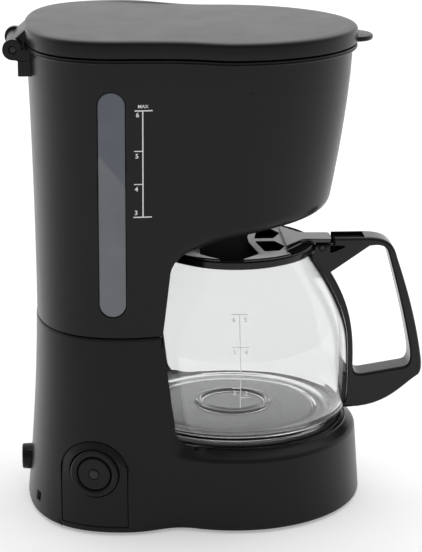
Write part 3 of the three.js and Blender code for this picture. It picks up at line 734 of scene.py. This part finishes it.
def lower_housing():
    rows = [level(inward(body_outline(BASE_Z + h), d), BASE_Z + h) for d, h in rounding(1.2, 3)]
    rows += [*body_rows([6, 14, 24, 32], 0), *shoulder_rows(0), *body_rows([70, 76, 84, 92, 99, 104], 0)]
    rows += [level(inward(body_outline(SEAM_Z - h), d), SEAM_Z - h) for d, h in reversed(rounding(1.1, 3))]
    shell = rows_solid("housing_lower", rows)
    cut(shell, bay_cutter(BAY_R, PLATFORM_Z, foot=SHOULDER_R))
    hollow = rows_solid("hollow", [*body_rows([-1, 14, 24, 32], WALL), *shoulder_rows(WALL),
                                   *body_rows([76, 92, SEAM_Z + 2], WALL)])
    inner_bay = lathe("inner_bay", [(0, PLATFORM_Z - WALL), (BAY_R + WALL, PLATFORM_Z - WALL),
                                    (BAY_R + WALL, 180), (0, 180)], 0, JUG_Y)
    cut(hollow, inner_bay)
    cut(shell, hollow, cylinder("plate_well", PLATE_WELL_R, 38, 50, 0, JUG_Y, ROUND))
    ledge = lathe("ledge", [(54, 38.5), (62.6, 38.5), (62.6, 44), (PLATE_WELL_R, 44), (PLATE_WELL_R, 41.2),
                            (54, 41.2), (54, 38.5)], 0, JUG_Y)
    join(shell, ledge)
    for x, y in SCREWS:
        boss_r, boss_top = (3.2, 24) if y > 0 else (4, 39)
        join(shell, cylinder("boss", boss_r, 4.6, boss_top, x, y, 24))
        cut(shell, cylinder("screw_hole", 1.7, 4, 16, x, y, 24))
    cord_way = block("cord_way", (-5.8, 5.8), (90, 115), (CORD_Z - 6, CORD_Z + 6))
    cut(shell, slab("arch_cut", arch(0), -80, -40), cord_way)
    for x in (-LATCH_X, LATCH_X):
        cut(shell, block("latch_slot", (x - 2.5, x + 2.5), (94, 110), (8, 13)))
    show(shell, BLACK, "machine", ["lower_housing"], 0.5)


def base_details():
    for corner, (x, y) in FEET.items():
        profile = rounded([(0, 0), (6.4, 0), (7.4, 1.5), (3, 1.5), (3, 5.4), (0, 5.4)], 0.5)
        turned(f"rubber_foot_{corner}", profile, RUBBER, "machine", f"foot_{corner}", x, y, 48)
    for i, (x, y) in enumerate(SCREWS, 1):
        profile = rounded([(0, 0.5), (3, 0.5), (3, 1.5), (1.4, 1.5), (1.4, 14), (0, 14)], 0.25)
        screw = lathe(f"screw_{i}", profile, x, y, 32)
        for across, along in ((2.2, 0.4), (0.4, 2.2)):
            cut(screw, block("cross", (x - across, x + across), (y - along, y + along), (0, 1.2)))
        show(screw, STEEL, "machine", [f"bottom_screw_{i}"])


def cord_outlet():
    """A round sleeve on the back, square where it passes through the wall."""
    sideways = Matrix.Translation((0, 0, CORD_Z)) @ Matrix.Rotation(-PI / 2, 4, "X")
    profile = rounded([(0, 100), (7.1, 100), (7.1, 108.8), (0, 108.8)], [0, 0, 1.3, 0])
    sleeve = lathe("cord_sleeve", profile, segments=64, place=sideways)
    cut(sleeve, rows_solid("inside", body_rows([5, 14, 20, 26, 40], -GAP)))
    join(sleeve, block("neck", (-5.4, 5.4), (97, 106), (CORD_Z - 5.6, CORD_Z + 5.6)))
    mouth = rounded([(0, 90), (3.6, 90), (3.6, 108), (4.3, 109), (0, 109)], 0.2)
    cut(sleeve, lathe("mouth", mouth, segments=48, place=sideways))
    show(sleeve, BLACK, "machine", ["cord_outlet"])


def hot_plate():
    """A coated dish with a raised rim, two raised rings and a raised middle."""
    flat, raised = 44.8, 45.1
    profile = [(0, 43.8), (56.8, 43.8), (56.8, 41.6), (58.4, 41.6), (58.4, 44.6), (57.8, 45.2), (55.6, 45.2),
               (54.6, flat)]
    for outer in (46.5, 28):
        profile += [(outer, flat), (outer - 1, raised), (outer - 2.5, raised), (outer - 3.5, flat)]
    profile += [(12.5, flat), (11.5, raised), (0, raised)]
    turned("warming_plate", rounded(profile, 0.5, 3), COATING, "machine", "hot_plate")
    seal = ring_profile(58.7, 59.9, 41.5, 44.2, 0.4, 3)
    turned("plate_ring_seal", seal, RUBBER, "machine", "plate_seal")


# ---- Switch ----
def switch_matrix():
    """Origin on the wall at the button, local +Z out of the wall, as the CAD's bezel stands."""
    front = Vector(LOWER_SKIN.side(BUTTON_Y - 2, BUTTON_Z))
    back = Vector(LOWER_SKIN.side(BUTTON_Y + 2, BUTTON_Z))
    normal = Vector((front.y - back.y, back.x - front.x, 0)).normalized()
    turn = Vector((0, 0, 1)).rotation_difference(normal).to_matrix().to_4x4()
    return Matrix.Translation(LOWER_SKIN.side(BUTTON_Y, BUTTON_Z)) @ turn


def switch_panel():
    """The arched panel: flush below, swelling out round the top of the switch."""
    outline = spread([*arch(0.35), arch(0.35)[0]], 96)[:-1]
    hole_r = BEZEL_R + 0.25
    sunk, swell = 0.5, 1.7
    loops = []
    for t in (0, 0.25, 0.5, 0.65, 0.8, 0.9, 0.96, 1):
        loop = []
        for y, z in outline:
            away = Vector((y - BUTTON_Y, z - BUTTON_Z))
            start = away.normalized() * hole_r
            spot = start.lerp(away, t)
            up = smooth((spot.y + 10) / 24)
            fall = 1 - smooth((t - 0.1) / 0.9) if spot.y > -6 else 1 - smooth((t - 0.8) / 0.2)
            lift = swell * up * fall - sunk
            loop.append(LOWER_SKIN.side(BUTTON_Y + spot.x, BUTTON_Z + spot.y, lift))
        loops.append(loop)
    back = [[(p[0] + 2.2, p[1], p[2]) for p in loop] for loop in (loops[-1], loops[0])]
    panel = rows_solid("switch_surround", [*loops, *back], wrap=True)
    show(panel, BLACK, "machine", ["switch_panel"])


def switch_parts():
    spot = switch_matrix()
    inner = BUTTON_R + 0.5
    bezel = rounded([(inner, -5), (BEZEL_R, -5), (BEZEL_R, 0.9), (12.3, 1.7), (10.6, 1.7), (inner, 0.9),
                     (inner, -5)], [0, 0, 0.4, 0.5, 0.5, 0.3, 0], 3)
    turned("switch_ring", bezel, BLACK, "machine", "switch_bezel", segments=96, place=spot)
    button = rounded([(0, -4), (3.2, -4), (3.2, -7), (4.6, -7), (4.6, -4), (BUTTON_R, -4), (BUTTON_R, 0.9),
                      (8.3, 1.5), (2.95, 1.2), (2.95, 0.3), (0, 0.3)],
                     [0, 0, 0, 0, 0, 0, 0.5, 0.5, 0.2, 0, 0], 3)
    turned("power_key", button, BLACK, "button", "power_button", segments=96, place=spot)
    lens = rounded([(0, 0.5), (2.6, 0.5), (2.6, 1.35), (1.6, 1.6), (0, 1.65)], 0.3, 3)
    turned("key_lens", lens, LENS, "button", "button_lens", segments=48, place=spot)


# ---- Upper housing ----
def upper_rows():
    """Rows of the outer surface; they follow the roof's edge, which is rounded at the front."""
    first = SEAM_Z + SEAM_GAP
    edge_y = UPPER_SKIN.points(np.full(PLAN, 158.0))[:, 1]
    for _ in range(3):
        edge_z = roof_z(edge_y)
        edge_y = UPPER_SKIN.points(edge_z)[:, 1]
    front = np.array([1 - smooth((y + 5) / 36) for y in edge_y])
    radius = HEAD_EDGE * front
    rows = []
    for d, h in rounding(0.5, 3):
        z = np.full(PLAN, first + h)
        rows.append((UPPER_SKIN.points(z), z, np.full(PLAN, d)))
    for t in (0.12, 0.3, 0.5, 0.7, 0.88, 0.97):
        z = first + 0.5 + (edge_z - 0.1 - first - 0.5) * t
        rows.append((UPPER_SKIN.points(z), z, radius * smooth((t - 0.5) / 0.47)))
    drops = [math.radians(90 * k / 7) for k in range(8)]
    for turn in drops:
        h = HEAD_EDGE * (1 - math.cos(turn))
        z = edge_z + h
        rows.append((UPPER_SKIN.points(z), z, radius * (1 - math.sin(turn))))
    for t in np.linspace(0.04, 1, 26):
        z = edge_z + HEAD_EDGE + (RIM_Z - edge_z - HEAD_EDGE) * t
        rows.append((UPPER_SKIN.points(z), z, np.zeros(PLAN)))
    placed = [[(*p, q + rim_rise(p[1], q)) for p, q in zip(inward(plan, d), z)] for plan, z, d in rows]
    bead = [(1.5, 0.05), (0.5, 0.3), (0.35, 0.55), (0.5, 0.8), (0.9, 1.05), (0.9, 1.3), (0.35, 1.6),
            (0.2, 1.85), (0.35, 2.1), (1.2, RIM_TOP_Z - RIM_Z)]
    return placed + [level(lid_outline(d), RIM_Z + h) for d, h in bead]


def window_outline(margin=0.0):
    """A slot with round ends, smaller than the window's opening by the margin."""
    half = WINDOW_HALF - margin
    return [*arc(WINDOW_Y, WINDOW_HIGH - WINDOW_HALF, half, 0, 180, 16),
            *arc(WINDOW_Y, WINDOW_LOW + WINDOW_HALF, half, 180, 360, 16)]


def well_profile(grow, heights):
    """The side of the brew well, grown by grow, as (radius, height) points."""
    return [(head_radius(z) + grow, z) for z in heights]


def hinge_ear(side):
    """A cheek on the back of the upper housing, with a rib under it."""
    shape = [(97.5, 246.4), (HINGE_Y, HINGE_Z - 5.5), *arc(HINGE_Y, HINGE_Z, 5.5, -80, 144, 20),
             (103.4, 253.3), (97.5, 253.3)]
    x = sorted((side * HINGE_IN, side * HINGE_OUT))
    ear = slab("ear", shape, *x, 0.6)
    rib = block("rib", x, (97.5, 105.8), (239, 247.5), 0.5)
    join(ear, rib)
    return cut(ear, cross_cylinder("bore", HINGE_BORE_R, -40, 40, HINGE_Y, HINGE_Z))


def upper_housing():
    """One moulding: the skin with tank and brew well, open on top, and the hinge's cheeks."""
    shell = rows_solid("housing_upper", upper_rows())
    heights = [HEAD_Z, 160, 172, 186, 200, 218, WELL_TOP_Z]
    bay_foot = SEAM_Z - 11
    recess = cylinder("recess", 50, 140, 162.4, 0, JUG_Y, ROUND)
    cut(shell, bay_cutter(BAY_R, bay_foot, fillet=10), recess)
    tower = bay_cutter(BAY_R + WALL, bay_foot, lift=WALL)
    tank = rows_solid("tank", body_rows([TANK_Z, 124, 138, *heights, 246, 258], WALL))
    well_outer = lathe("well_outer", [(0, HEAD_Z), *well_profile(0, heights), (0, WELL_TOP_Z)], 0, HEAD_Y)
    cut(tank, tower, well_outer)
    levels = [HEAD_FLOOR_Z, 175, 186, 198, 210, 224, WELL_TOP_Z + 1]
    well = lathe("well", [(0, HEAD_FLOOR_Z), *well_profile(-WALL, levels), (0, WELL_TOP_Z + 1)], 0, HEAD_Y)
    cut(shell, tank, well, cylinder("valve_way", 12.5, 155, 170, 0, JUG_Y),
        cylinder("outlet", 5.9, 100, 115, OUTLET_X, PIPE_Y),
        cylinder("riser_way", 6.9, 100, 115, RISER_X, PIPE_Y),
        slab("window_cut", window_outline(), *NEAR_WALL))
    for side in (-1, 1):
        ear = hinge_ear(side)
        join(shell, cut(ear, rows_solid("inside", body_rows([230, RIM_Z, 258], WALL / 2))))
    show(shell, BLACK, "machine", ["upper_housing", "tank_tray", "brew_well"], 0.45)


def level_window():
    heights = list(range(112, 246, 6))
    pane = rows_solid("tank_window", body_rows(heights, 0.35))
    cut(pane, rows_solid("inside", body_rows([heights[0] - 2, *heights, heights[-1] + 2], 2.2)))
    keep(pane, slab("pane", window_outline(0.25), *NEAR_WALL))
    show(pane, WINDOW, "machine", ["level_window"], 0.35)


def hinge_pin():
    half = HINGE_OUT - 0.6
    pin = cross_cylinder("lid_hinge_pin", HINGE_PIN_R, -half, half, HINGE_Y, HINGE_Z, 0.3)
    show(pin, PIN_STEEL, "machine", ["hinge_pin"])


# ---- Lid ----
def lid():
    rows = [level(lid_outline(d), LID_Z + h) for d, h in ((1.2, 0), (0.5, 0.1), (0.15, 0.4), (0, 0.9))]
    rows.append(level(lid_outline(0.1), 258))
    rows += [level(lid_outline(0.2 + d), TOP_Z - 0.25 - h) for d, h in reversed(rounding(2.0, 6))]
    rows += [level(lid_outline(d), z) for d, z in ((3.2, TOP_Z - 0.05), (6, TOP_Z))]
    shell = rows_solid("lid_shell", rows)
    cut(shell, rows_solid("inside", [level(lid_outline(2.2), z) for z in (250, 252, 260.5)]))
    tab = [(13.5 * math.cos(a), -73 + 9.8 * math.sin(a)) for a in np.linspace(PI, 2 * PI, 33)]
    join(shell, slab("tab", [*tab, (13.5, -70), (-13.5, -70)], LID_Z, LID_Z + 2.6, 0.9, axis="z"))
    join(shell, slab("fin", [(-72, 254.3), (-75.6, 254.3), (-73.6, 250.6), (-72, 250)], -0.7, 0.7, 0.2))
    foot = LID_Z + BACK_RISE + GAP
    tongue = [(98.5, foot), (103.4, foot), *arc(HINGE_Y, HINGE_Z, 4.1, 162, 450, 32), (101, 263.4),
              (98.5, 263.4)]
    join(shell, slab("tongue", tongue, -HINGE_IN + 0.4, HINGE_IN - 0.4, 0.4))
    cut(shell, cross_cylinder("bore", HINGE_BORE_R, -30, 30, HINGE_Y, HINGE_Z))
    show(shell, LID_BLACK, "lid", ["lid"])
    cup = rounded([(0, 256.4), (53, 256.4), (54, 249.6), (56, 249.6), (56, 257.5), (59, 258.6), (59, 260.1),
                   (0, 260.1)], 0.6)
    turned("lid_liner", cup, DARK, "lid", "lid_inner_panel", y=HEAD_Y)


# ---- Water way and brewing parts ----
def water_way():
    arm = tube("spout", [(RISER_X, PIPE_Y, 236.4), (RISER_X, PIPE_Y, 240.4), (18.6, 72, 244.4),
                         (13, 48, 244.4), (6, 18, 244.4), (1, -3, 244.4), (0, JUG_Y, 239.5)], 4, 2.6)
    show(arm, DARK, "machine", ["spout_arm"])
    riser = ring_profile(3, 4.5, 92, 236, 0.4, 3)
    turned("riser", riser, WHITE, "machine", "riser_tube", RISER_X, PIPE_Y, 40)


def filter_basket():
    cone = rounded([(0, 165.4), (34, 165.4), (49, 176), (59.6, 223), (62, 224.4), (62, 226), (58, 226),
                    (47.2, 177.2), (33.2, 167.4), (0, 167.4)], [0, 2, 5, 1, 0.7, 0.7, 1, 5, 2, 0])
    basket = lathe("brew_basket", cone, 0, HEAD_Y)
    join(basket, cylinder("nose", 10.5, 156.5, 167, 0, JUG_Y),
         block("bridge", (-9.4, 9.4), (JUG_Y - 2.6, JUG_Y + 2.6), (166, 174)))
    cut(basket, lathe("bore", [(0, 150), (4.2, 150), (4.2, 158.5), (7.6, 158.5), (7.6, 172), (2.5, 172),
                               (2.5, 180), (0, 180)], 0, JUG_Y, 48))
    ribs = 24
    band = [(34.4, 168), (47.0, 176.8), (57.8, 222), (57.0, 222), (46.2, 177.6), (33.6, 168.8), (34.4, 168)]
    for k in range(ribs):
        rib = block("rib", (-0.5, 0.5), (36, 62), (170, 222))
        keep(rib, lathe("rib_band", band, 0, 0, 64))
        place(rib, Matrix.Translation((0, HEAD_Y, 0)) @ Matrix.Rotation(2 * PI * k / ribs, 4, "Z"))
        join(basket, rib)
    show(basket, DARK, "basket", ["filter_basket"], 0.3)


def mesh_filter():
    cup = rounded([(0, 176), (36, 176), (45.6, 181), (57, 226.4), (60.5, 226.4), (60.5, 228), (56, 228),
                   (44.6, 182), (35.6, 177.2), (0, 177.2)], 0.5, 3)
    turned("mesh_cup", cup, MESH, "filter", "mesh_filter", y=HEAD_Y)
    rim = rounded([(55.9, 226.2), (60.7, 226.2), (60.7, 228.2), (55.9, 228.2), (55.9, 226.2)], 0.4, 3)
    floor_ring = [(34.5, 175.9), (37.5, 175.9), (37.5, 177.6), (34.5, 177.6), (34.5, 175.9)]
    frame_parts = [lathe("mesh_rim", rim, 0, HEAD_Y), lathe("mesh_floor_ring", floor_ring, 0, HEAD_Y)]
    stays = 6
    for k in range(stays):
        a = 2 * PI * (k + 0.5) / stays
        slope = ((46, 182), (51.5, 204), (57.2, 226.6))
        route = [(r * math.cos(a), HEAD_Y + r * math.sin(a), z) for r, z in slope]
        frame_parts.append(tube(f"mesh_stay_{k + 1}", route, 1.0, sides=10, steps=4))
    for part in frame_parts:
        show(part, DARK, "filter")
    bail = tube("mesh_bail", [(-14, HEAD_Y, 177.4), (-13, HEAD_Y, 190), (0, HEAD_Y, 199), (13, HEAD_Y, 190),
                              (14, HEAD_Y, 177.4)], 1.6)
    show(bail, DARK, "filter", ["filter_handle"])


def drip_valve():
    valve = rounded([(0, 150.2), (2.6, 150.2), (3.6, 151.4), (3.6, 160), (6.8, 160), (6.8, 162.2),
                     (2, 162.2), (2, 169.6), (0, 169.6)], 0.3, 3)
    turned("drip_stop", valve, WHITE, "valve", "drip_valve", segments=48)


# ---- Springs ----
def spring(name, node, body, radius, wire, low, high, frame_at):
    """A wound wire about a local Z axis."""
    turns, around = 4, 14
    steps = turns * around
    route = []
    for k in range(steps + 1):
        a = 2 * PI * k / around
        z = lerp(low + wire, high - wire, k / steps)
        route.append(tuple(frame_at @ Vector((radius * math.cos(a), radius * math.sin(a), z))))
    coil = tube(name, route, wire, sides=12, steps=2)
    show(coil, STEEL, body, [node])
    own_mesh(coil)


def springs():
    """The key's spring is held at its inner end, the valve's at its upper end."""
    spring("key_coil", "button_spring", "machine", 2.2, 0.45, -12.4, -4.3,
           switch_matrix())
    spring("valve_coil", "valve_spring", "basket", 4.4, 0.5, 162.5, 171.7,
           Matrix.Translation((0, JUG_Y, 0)))


# ---- Jug ----
HEEL = (61, 49.4)  # where the glass's rounded foot meets its side
GLASS_SIDE = [HEEL, (63.2, 58), (63.2, 84), (60.8, 100), (54, 117), (44.4, 132.8), (41.2, 139), (41, 142.4)]
GLASS_INNER = [(38.8, 142.4), (39, 139), (42.4, 132), (52, 116), (58.6, 99.4), (61, 84), (61, 59),
               (59.2, 52)]


def glass_radius(z):
    rs, zs = zip(*flowing(GLASS_SIDE, 8))
    return np.interp(z, zs, rs)


def jug_glass():
    outer = [*rounded([(0, 48.2), (30, 47.9), (44, 47), (47, 45.6), (53, 45.6)], [0, 8, 5, 2, 0], 5),
             *bezier((53, 45.6), (57, 45.6), (59.6, 46.8), HEEL, 8), *flowing(GLASS_SIDE, 8)[1:]]
    floor_line = [(54, 50.6), (48, 49.2), (38, 49.5), (24, 50.2), (21.5, 50.1), (20, 51.1), (18.2, 51.1),
                  (16.8, 50), (12, 50.5), (6, 50.7), (0.4, 50.7)]
    inner = [*flowing(GLASS_INNER, 8), *flowing(floor_line, 4), (0, 50.7)]
    lip = [(40.7, 142.55), (39.9, 142.75), (39.1, 142.55)]
    jug = lathe("glass_carafe", [*outer, *lip, *inner], 0, JUG_Y, 160)
    show(jug, GLASS, "jug", ["glass_jug"], angle=60)
    turned("carafe_band", ring_profile(41.5, 43.6, 138.7, 142.5, 0.6, 4), GLOSS, "jug", "jug_collar")


def jug_handle():
    outer = [(-46, 142), (-63.2, 142), (-63.2, 145.6), (-80, 145.6),
             *bezier((-80, 145.6), (-91, 145.6), (-96.2, 143.6), (-98.6, 134)),
             *bezier((-98.6, 134), (-102.5, 122.5), (-109.2, 103), (-113, 79)),
             *bezier((-113, 79), (-114.1, 72.5), (-114.3, 68), (-112.2, 66), 6),
             *bezier((-112.2, 66), (-102, 59), (-95, 48), (-73.7, 47.6)), (-40, 47.6)]
    gap = [(-62, 125.9), (-83.2, 140.6),
           *bezier((-83.2, 140.6), (-89.4, 141.6), (-92.4, 140.6), (-93.6, 136.5), 8),
           *bezier((-93.6, 136.5), (-97.2, 124), (-102.6, 104), (-105.7, 88)),
           *bezier((-105.7, 88), (-108.6, 74.6), (-107.6, 71.6), (-103, 71)), (-80.6, 67.4),
           *bezier((-80.6, 67.4), (-76.6, 67), (-75.3, 68.6), (-75.3, 73), 6),
           *bezier((-75.3, 73), (-75.6, 92), (-73.5, 108), (-62, 125.9))[:-1]]
    handle = slab("carafe_handle", outer, -HANDLE_HALF, HANDLE_HALF, 1.6, hole=gap)
    wall = [(r + 0.4, z) for r, z in flowing([(53, 45.6), *GLASS_SIDE], 4) if z < 137.6]
    room = [(0, 40), (52.4, 40), *wall, (44.2, 137.6), (44.2, 142.8), (45.8, 142.8), (45.8, 160), (0, 160)]
    cut(handle, lathe("jug_room", room, 0, JUG_Y))
    cut(handle, block("lever_slot", (-4.5, 4.5), (-63.2, -40), (133, 155)),
        block("thumb_recess", (-6, 6), (-80.5, -60), (142.6, 155), 0.8),
        block("clip_seat", (-3.3, 3.3), (-73.4, -60), (45, 51.8)))
    pocket = rounded([(-61.4, 141.2), (-71, 141.2), (-61.4, 137.2)], 0.8, closed=True)
    for side in (-1, 1):
        floor_x, mouth = sorted((side * 5.6, side * 5.8)), sorted((side * 5.6, side * 9))
        cut(handle, slab("pocket", pocket, *mouth))
        # a sheet of painted shade on the floor of each pocket
        show(slab("pocket_painted_shade", pocket, *floor_x), PAINTED_SHADE, "jug")
    cut(handle, cross_cylinder("bore", PIVOT_PIN_R + 0.1, -12, 12, PIVOT_Y, PIVOT_Z))
    show(handle, GLOSS, "jug", ["jug_handle"], 0.4)
    clip = block("foot_clip", (-3, 3), (-73.1, -72.1), (48.2, 51.5), 0.2)
    show(clip, STEEL, "jug", ["handle_clip"])
    pin = cross_cylinder("lever_pin", PIVOT_PIN_R, -8.3, 8.3, PIVOT_Y, PIVOT_Z, 0.2)
    show(pin, PIN_STEEL, "jug", ["jug_lid_pin"])


def jug_disc(name, outline, low, high, radius):
    """A flat plate that ends at a radius round the jug's axis."""
    return keep(slab(name, outline, low, high, axis="z"), cylinder("edge", radius, 130, 160, 0, JUG_Y))


def jug_lid():
    """A flat lid with a lever to its pin; the floors of its notches, pits and middle gap carry sheets of
    painted shade.
    """
    profile = rounded([(0, 137.6), (36.4, 137.6), (36.4, 136.8), (38.1, 136.8), (38.1, 142.9), (43.4, 142.9),
                       (43.4, 143.6), (42.6, 144), (33.6, 143.2), (0, 143.2)],
                      [0, 0, 0.3, 0.3, 0, 0.2, 0.3, 0.4, 2, 0])
    top = lathe("carafe_lid", profile, 0, JUG_Y)
    web = rounded([(-22, -36), (-7.4, -46), (-7.4, -62.2), (7.4, -62.2), (7.4, -46), (22, -36)],
                  [0, 6, 2, 2, 6, 0])
    lever = slab("lever", web, 142.9, 145.5, 0.5, axis="z")
    slope = [(-64, 140), (-30, 140), (-30, 145.6), (-36, 145.5), (-64, 145.05)]
    keep(lever, slab("slope", slope, -40, 40))
    lug = [(-53.8, 144), (-60.4, 144), *arc(PIVOT_Y, PIVOT_Z, 3.3, 180, 360, 16)]
    for side in (-1, 1):
        notch = [(side * x, y) for x, y in ((22.5, -36.2), (8, -46.5), (8, -60), (46, -60), (46, -38))]
        cut(top, slab("notch", notch, 143.05, 150, axis="z"))
        # a sheet of painted shade on the notch's floor
        show(jug_disc("notch_painted_shade", notch, 142.9, 143.15, 43.1), PAINTED_SHADE, "jug_lid")
    join(top, lever, slab("lug", lug, -4, 4))
    right = [(28.5, 11), (41, 1.5), (46, 1.5), (46, -11), (41, -11), (31, -18), (28, -20.2), (6, -17)]
    middle = rounded([*right, *[(-x, y) for x, y in reversed(right)]], 1.2, closed=True)
    small = [(3, -20.5), (24, -24), (22.5, -32), (14, -35.5), (3, -31)]
    pits = [middle, *(rounded([(side * x, y) for x, y in small], 1.2, closed=True) for side in (-1, 1))]
    for pit in pits:
        cut(top, jug_disc("pit", pit, 139.4, 150, 36))
        # a sheet of painted shade on the pit's floor
        show(jug_disc("pit", pit, 139.2, 139.7, 35.8), PAINTED_SHADE, "jug_lid")
    cut(top, slab("gap", middle, 143.1, 150, axis="z"),
        cross_cylinder("bore", PIVOT_PIN_R + 0.2, -12, 12, PIVOT_Y, PIVOT_Z))
    # a ring of painted shade on the floor of the middle gap
    rim = jug_disc("gap_painted_shade", middle, 143.0, 143.25, 43.1)
    show(cut(rim, cylinder("plug", 36.1, 130, 160, 0, JUG_Y)), PAINTED_SHADE, "jug_lid")
    show(top, JUG_BLACK, "jug_lid", ["jug_lid"], 0.25)


# ---- Printed scales ----
def printed(name, shapes, onto, material, body):
    """Flat shapes, each a list of (across, up) corners, laid on a surface."""
    points, faces = [], []
    for shape in shapes:
        faces.append(tuple(range(len(points), len(points) + len(shape))))
        points += [onto(a, b) for a, b in shape]
    show(mesh_object(name, points, faces), material, body)


def bar(y0, y1, z0, z1, parts=1):
    """A bar as short pieces, so that it follows a curved wall."""
    upright = z1 - z0 > y1 - y0
    out = []
    for k in range(parts):
        start, end = k / parts, (k + 1) / parts
        low, high = (lerp(z0, z1, start), lerp(z0, z1, end)) if upright else (z0, z1)
        near, far = (y0, y1) if upright else (lerp(y0, y1, start), lerp(y0, y1, end))
        out.append([(near, low), (far, low), (far, high), (near, high)])
    return out


def lettering(name, text, y, z, size, onto, material, body, weight=0.07):
    """Characters set upright as seen from the -X side, their middle at y and foot at z."""
    curve = bpy.data.curves.new(name, "FONT")
    curve.body, curve.size, curve.align_x = text, size, "CENTER"
    curve.resolution_u, curve.offset = 4, weight
    source = add_object(name, curve)
    graph = bpy.context.evaluated_depsgraph_get()
    mesh = bpy.data.meshes.new_from_object(source.evaluated_get(graph))
    bpy.data.objects.remove(source)
    for v in mesh.vertices:
        v.co = Vector(onto(y - v.co.x, z + v.co.y)) * MM
    show(add_object(name, mesh), material, body)


def tank_scale():
    def onto(y, z):
        return UPPER_SKIN.side(y, z, 0.05)

    low, high = 173.2, 229.4
    shapes = bar(42.4, 43.0, low, high, 12) + bar(37.7, 46.8, high - 0.3, high + 0.3, 3)
    shapes += bar(38.2, 47.6, low - 0.3, low + 0.3, 3)
    for z in (190.8, 208.3):
        shapes += bar(42.7, 47.2, z - 0.25, z + 0.25, 2)
    printed("tank_scale_lines", shapes, onto, INK, "machine")
    for text, y, z in (("6", 45.3, 226.2), ("5", 45.7, 204.6), ("4", 46.0, 187.1), ("3", 46.2, 174.5)):
        lettering(f"tank_scale_{text}", text, y, z, 3.4, onto, INK, "machine")
    lettering("tank_scale_top", "MAX", 42.5, 230.8, 2.5, onto, INK, "machine", 0.02)


def jug_scale():
    def onto(y, z):
        across = y - JUG_Y
        return (-math.sqrt(max(0.0, float(glass_radius(z)) ** 2 - across ** 2)) - 0.04, y, z)

    middle, low, high = -8.0, 68.6, 117.2
    shapes = bar(middle - 0.2, middle + 0.2, low, high, 24)
    shapes += bar(middle - 4.5, middle + 4.4, high - 0.2, high + 0.2, 6)
    shapes += bar(middle - 4.9, middle + 4.5, 100.9, 101.3, 6)
    shapes += bar(middle, middle + 4.4, 79.3, 79.7, 3)
    shapes += bar(middle - 4.4, middle, 74.1, 74.5, 3)
    printed("jug_scale_lines", shapes, onto, INK, "jug")
    for text, side, z in (("6", 1, 113.6), ("5", -1, 113.6), ("5", 1, 97.6), ("4", -1, 97.6), ("3", 1, 75.9),
                          ("2", -1, 75.4)):
        where = "left" if side > 0 else "right"
        lettering(f"jug_scale_{where}_{text}", text, middle + side * 3.1, z, 3.3, onto, INK, "jug")


# ---- Camera, floor and light ----
def camera():
    azimuth, pitch, roll = math.radians(-94), math.radians(16), math.radians(0.2)
    data = bpy.data.cameras.new("camera")
    data.lens, data.sensor_width = 131.1, 36.0
    data.clip_start, data.clip_end = 0.05, 50
    cam = add_object("camera", data)
    cam.location = (-1.0594, 0.0774, 0.4275)
    cam.rotation_euler = (Matrix.Rotation(azimuth, 3, "Z") @ Matrix.Rotation(PI / 2 - pitch, 3, "X")
                          @ Matrix.Rotation(roll, 3, "Z")).to_euler()
    bpy.context.scene.camera = cam


def floor():
    size = 8000
    corners = [(-size, -size, 0), (size, -size, 0), (size, size, 0), (-size, size, 0)]
    plane = mesh_object("floor", corners, [(0, 1, 2, 3)])
    plane.data.materials.append(floor_material())


def light():
    """A white room that is brighter behind the object than behind the camera, and a soft top light."""
    world = bpy.data.worlds.new("studio")
    bpy.context.scene.world = world
    world.use_nodes = True
    tree = world.node_tree
    back = tree.nodes["Background"]
    coords = tree.nodes.new("ShaderNodeTexCoord")
    axes = tree.nodes.new("ShaderNodeSeparateXYZ")
    ramp = tree.nodes.new("ShaderNodeMapRange")
    for key, value in (("From Min", -0.6), ("From Max", 0.7), ("To Min", 0.34), ("To Max", 1.08)):
        ramp.inputs[key].default_value = value
    tree.links.new(coords.outputs["Generated"], axes.inputs[0])
    tree.links.new(axes.outputs["X"], ramp.inputs["Value"])
    tree.links.new(ramp.outputs[0], back.inputs["Strength"])
    back.inputs["Color"].default_value = (1, 1, 1, 1)
    sun = bpy.data.lights.new("top_light", "SUN")
    sun.energy, sun.angle = 0.5, math.radians(70)
    lamp = add_object("top_light", sun)
    lamp.rotation_euler = (math.radians(12), math.radians(14), 0)
    bpy.context.scene.view_settings.view_transform = "Standard"


camera()
floor()
light()
dress_cad_nodes()
lower_housing()
base_details()
cord_outlet()
hot_plate()
switch_panel()
switch_parts()
upper_housing()
level_window()
hinge_pin()
lid()
water_way()
filter_basket()
mesh_filter()
drip_valve()
springs()
jug_glass()
jug_handle()
jug_lid()
tank_scale()
jug_scale()
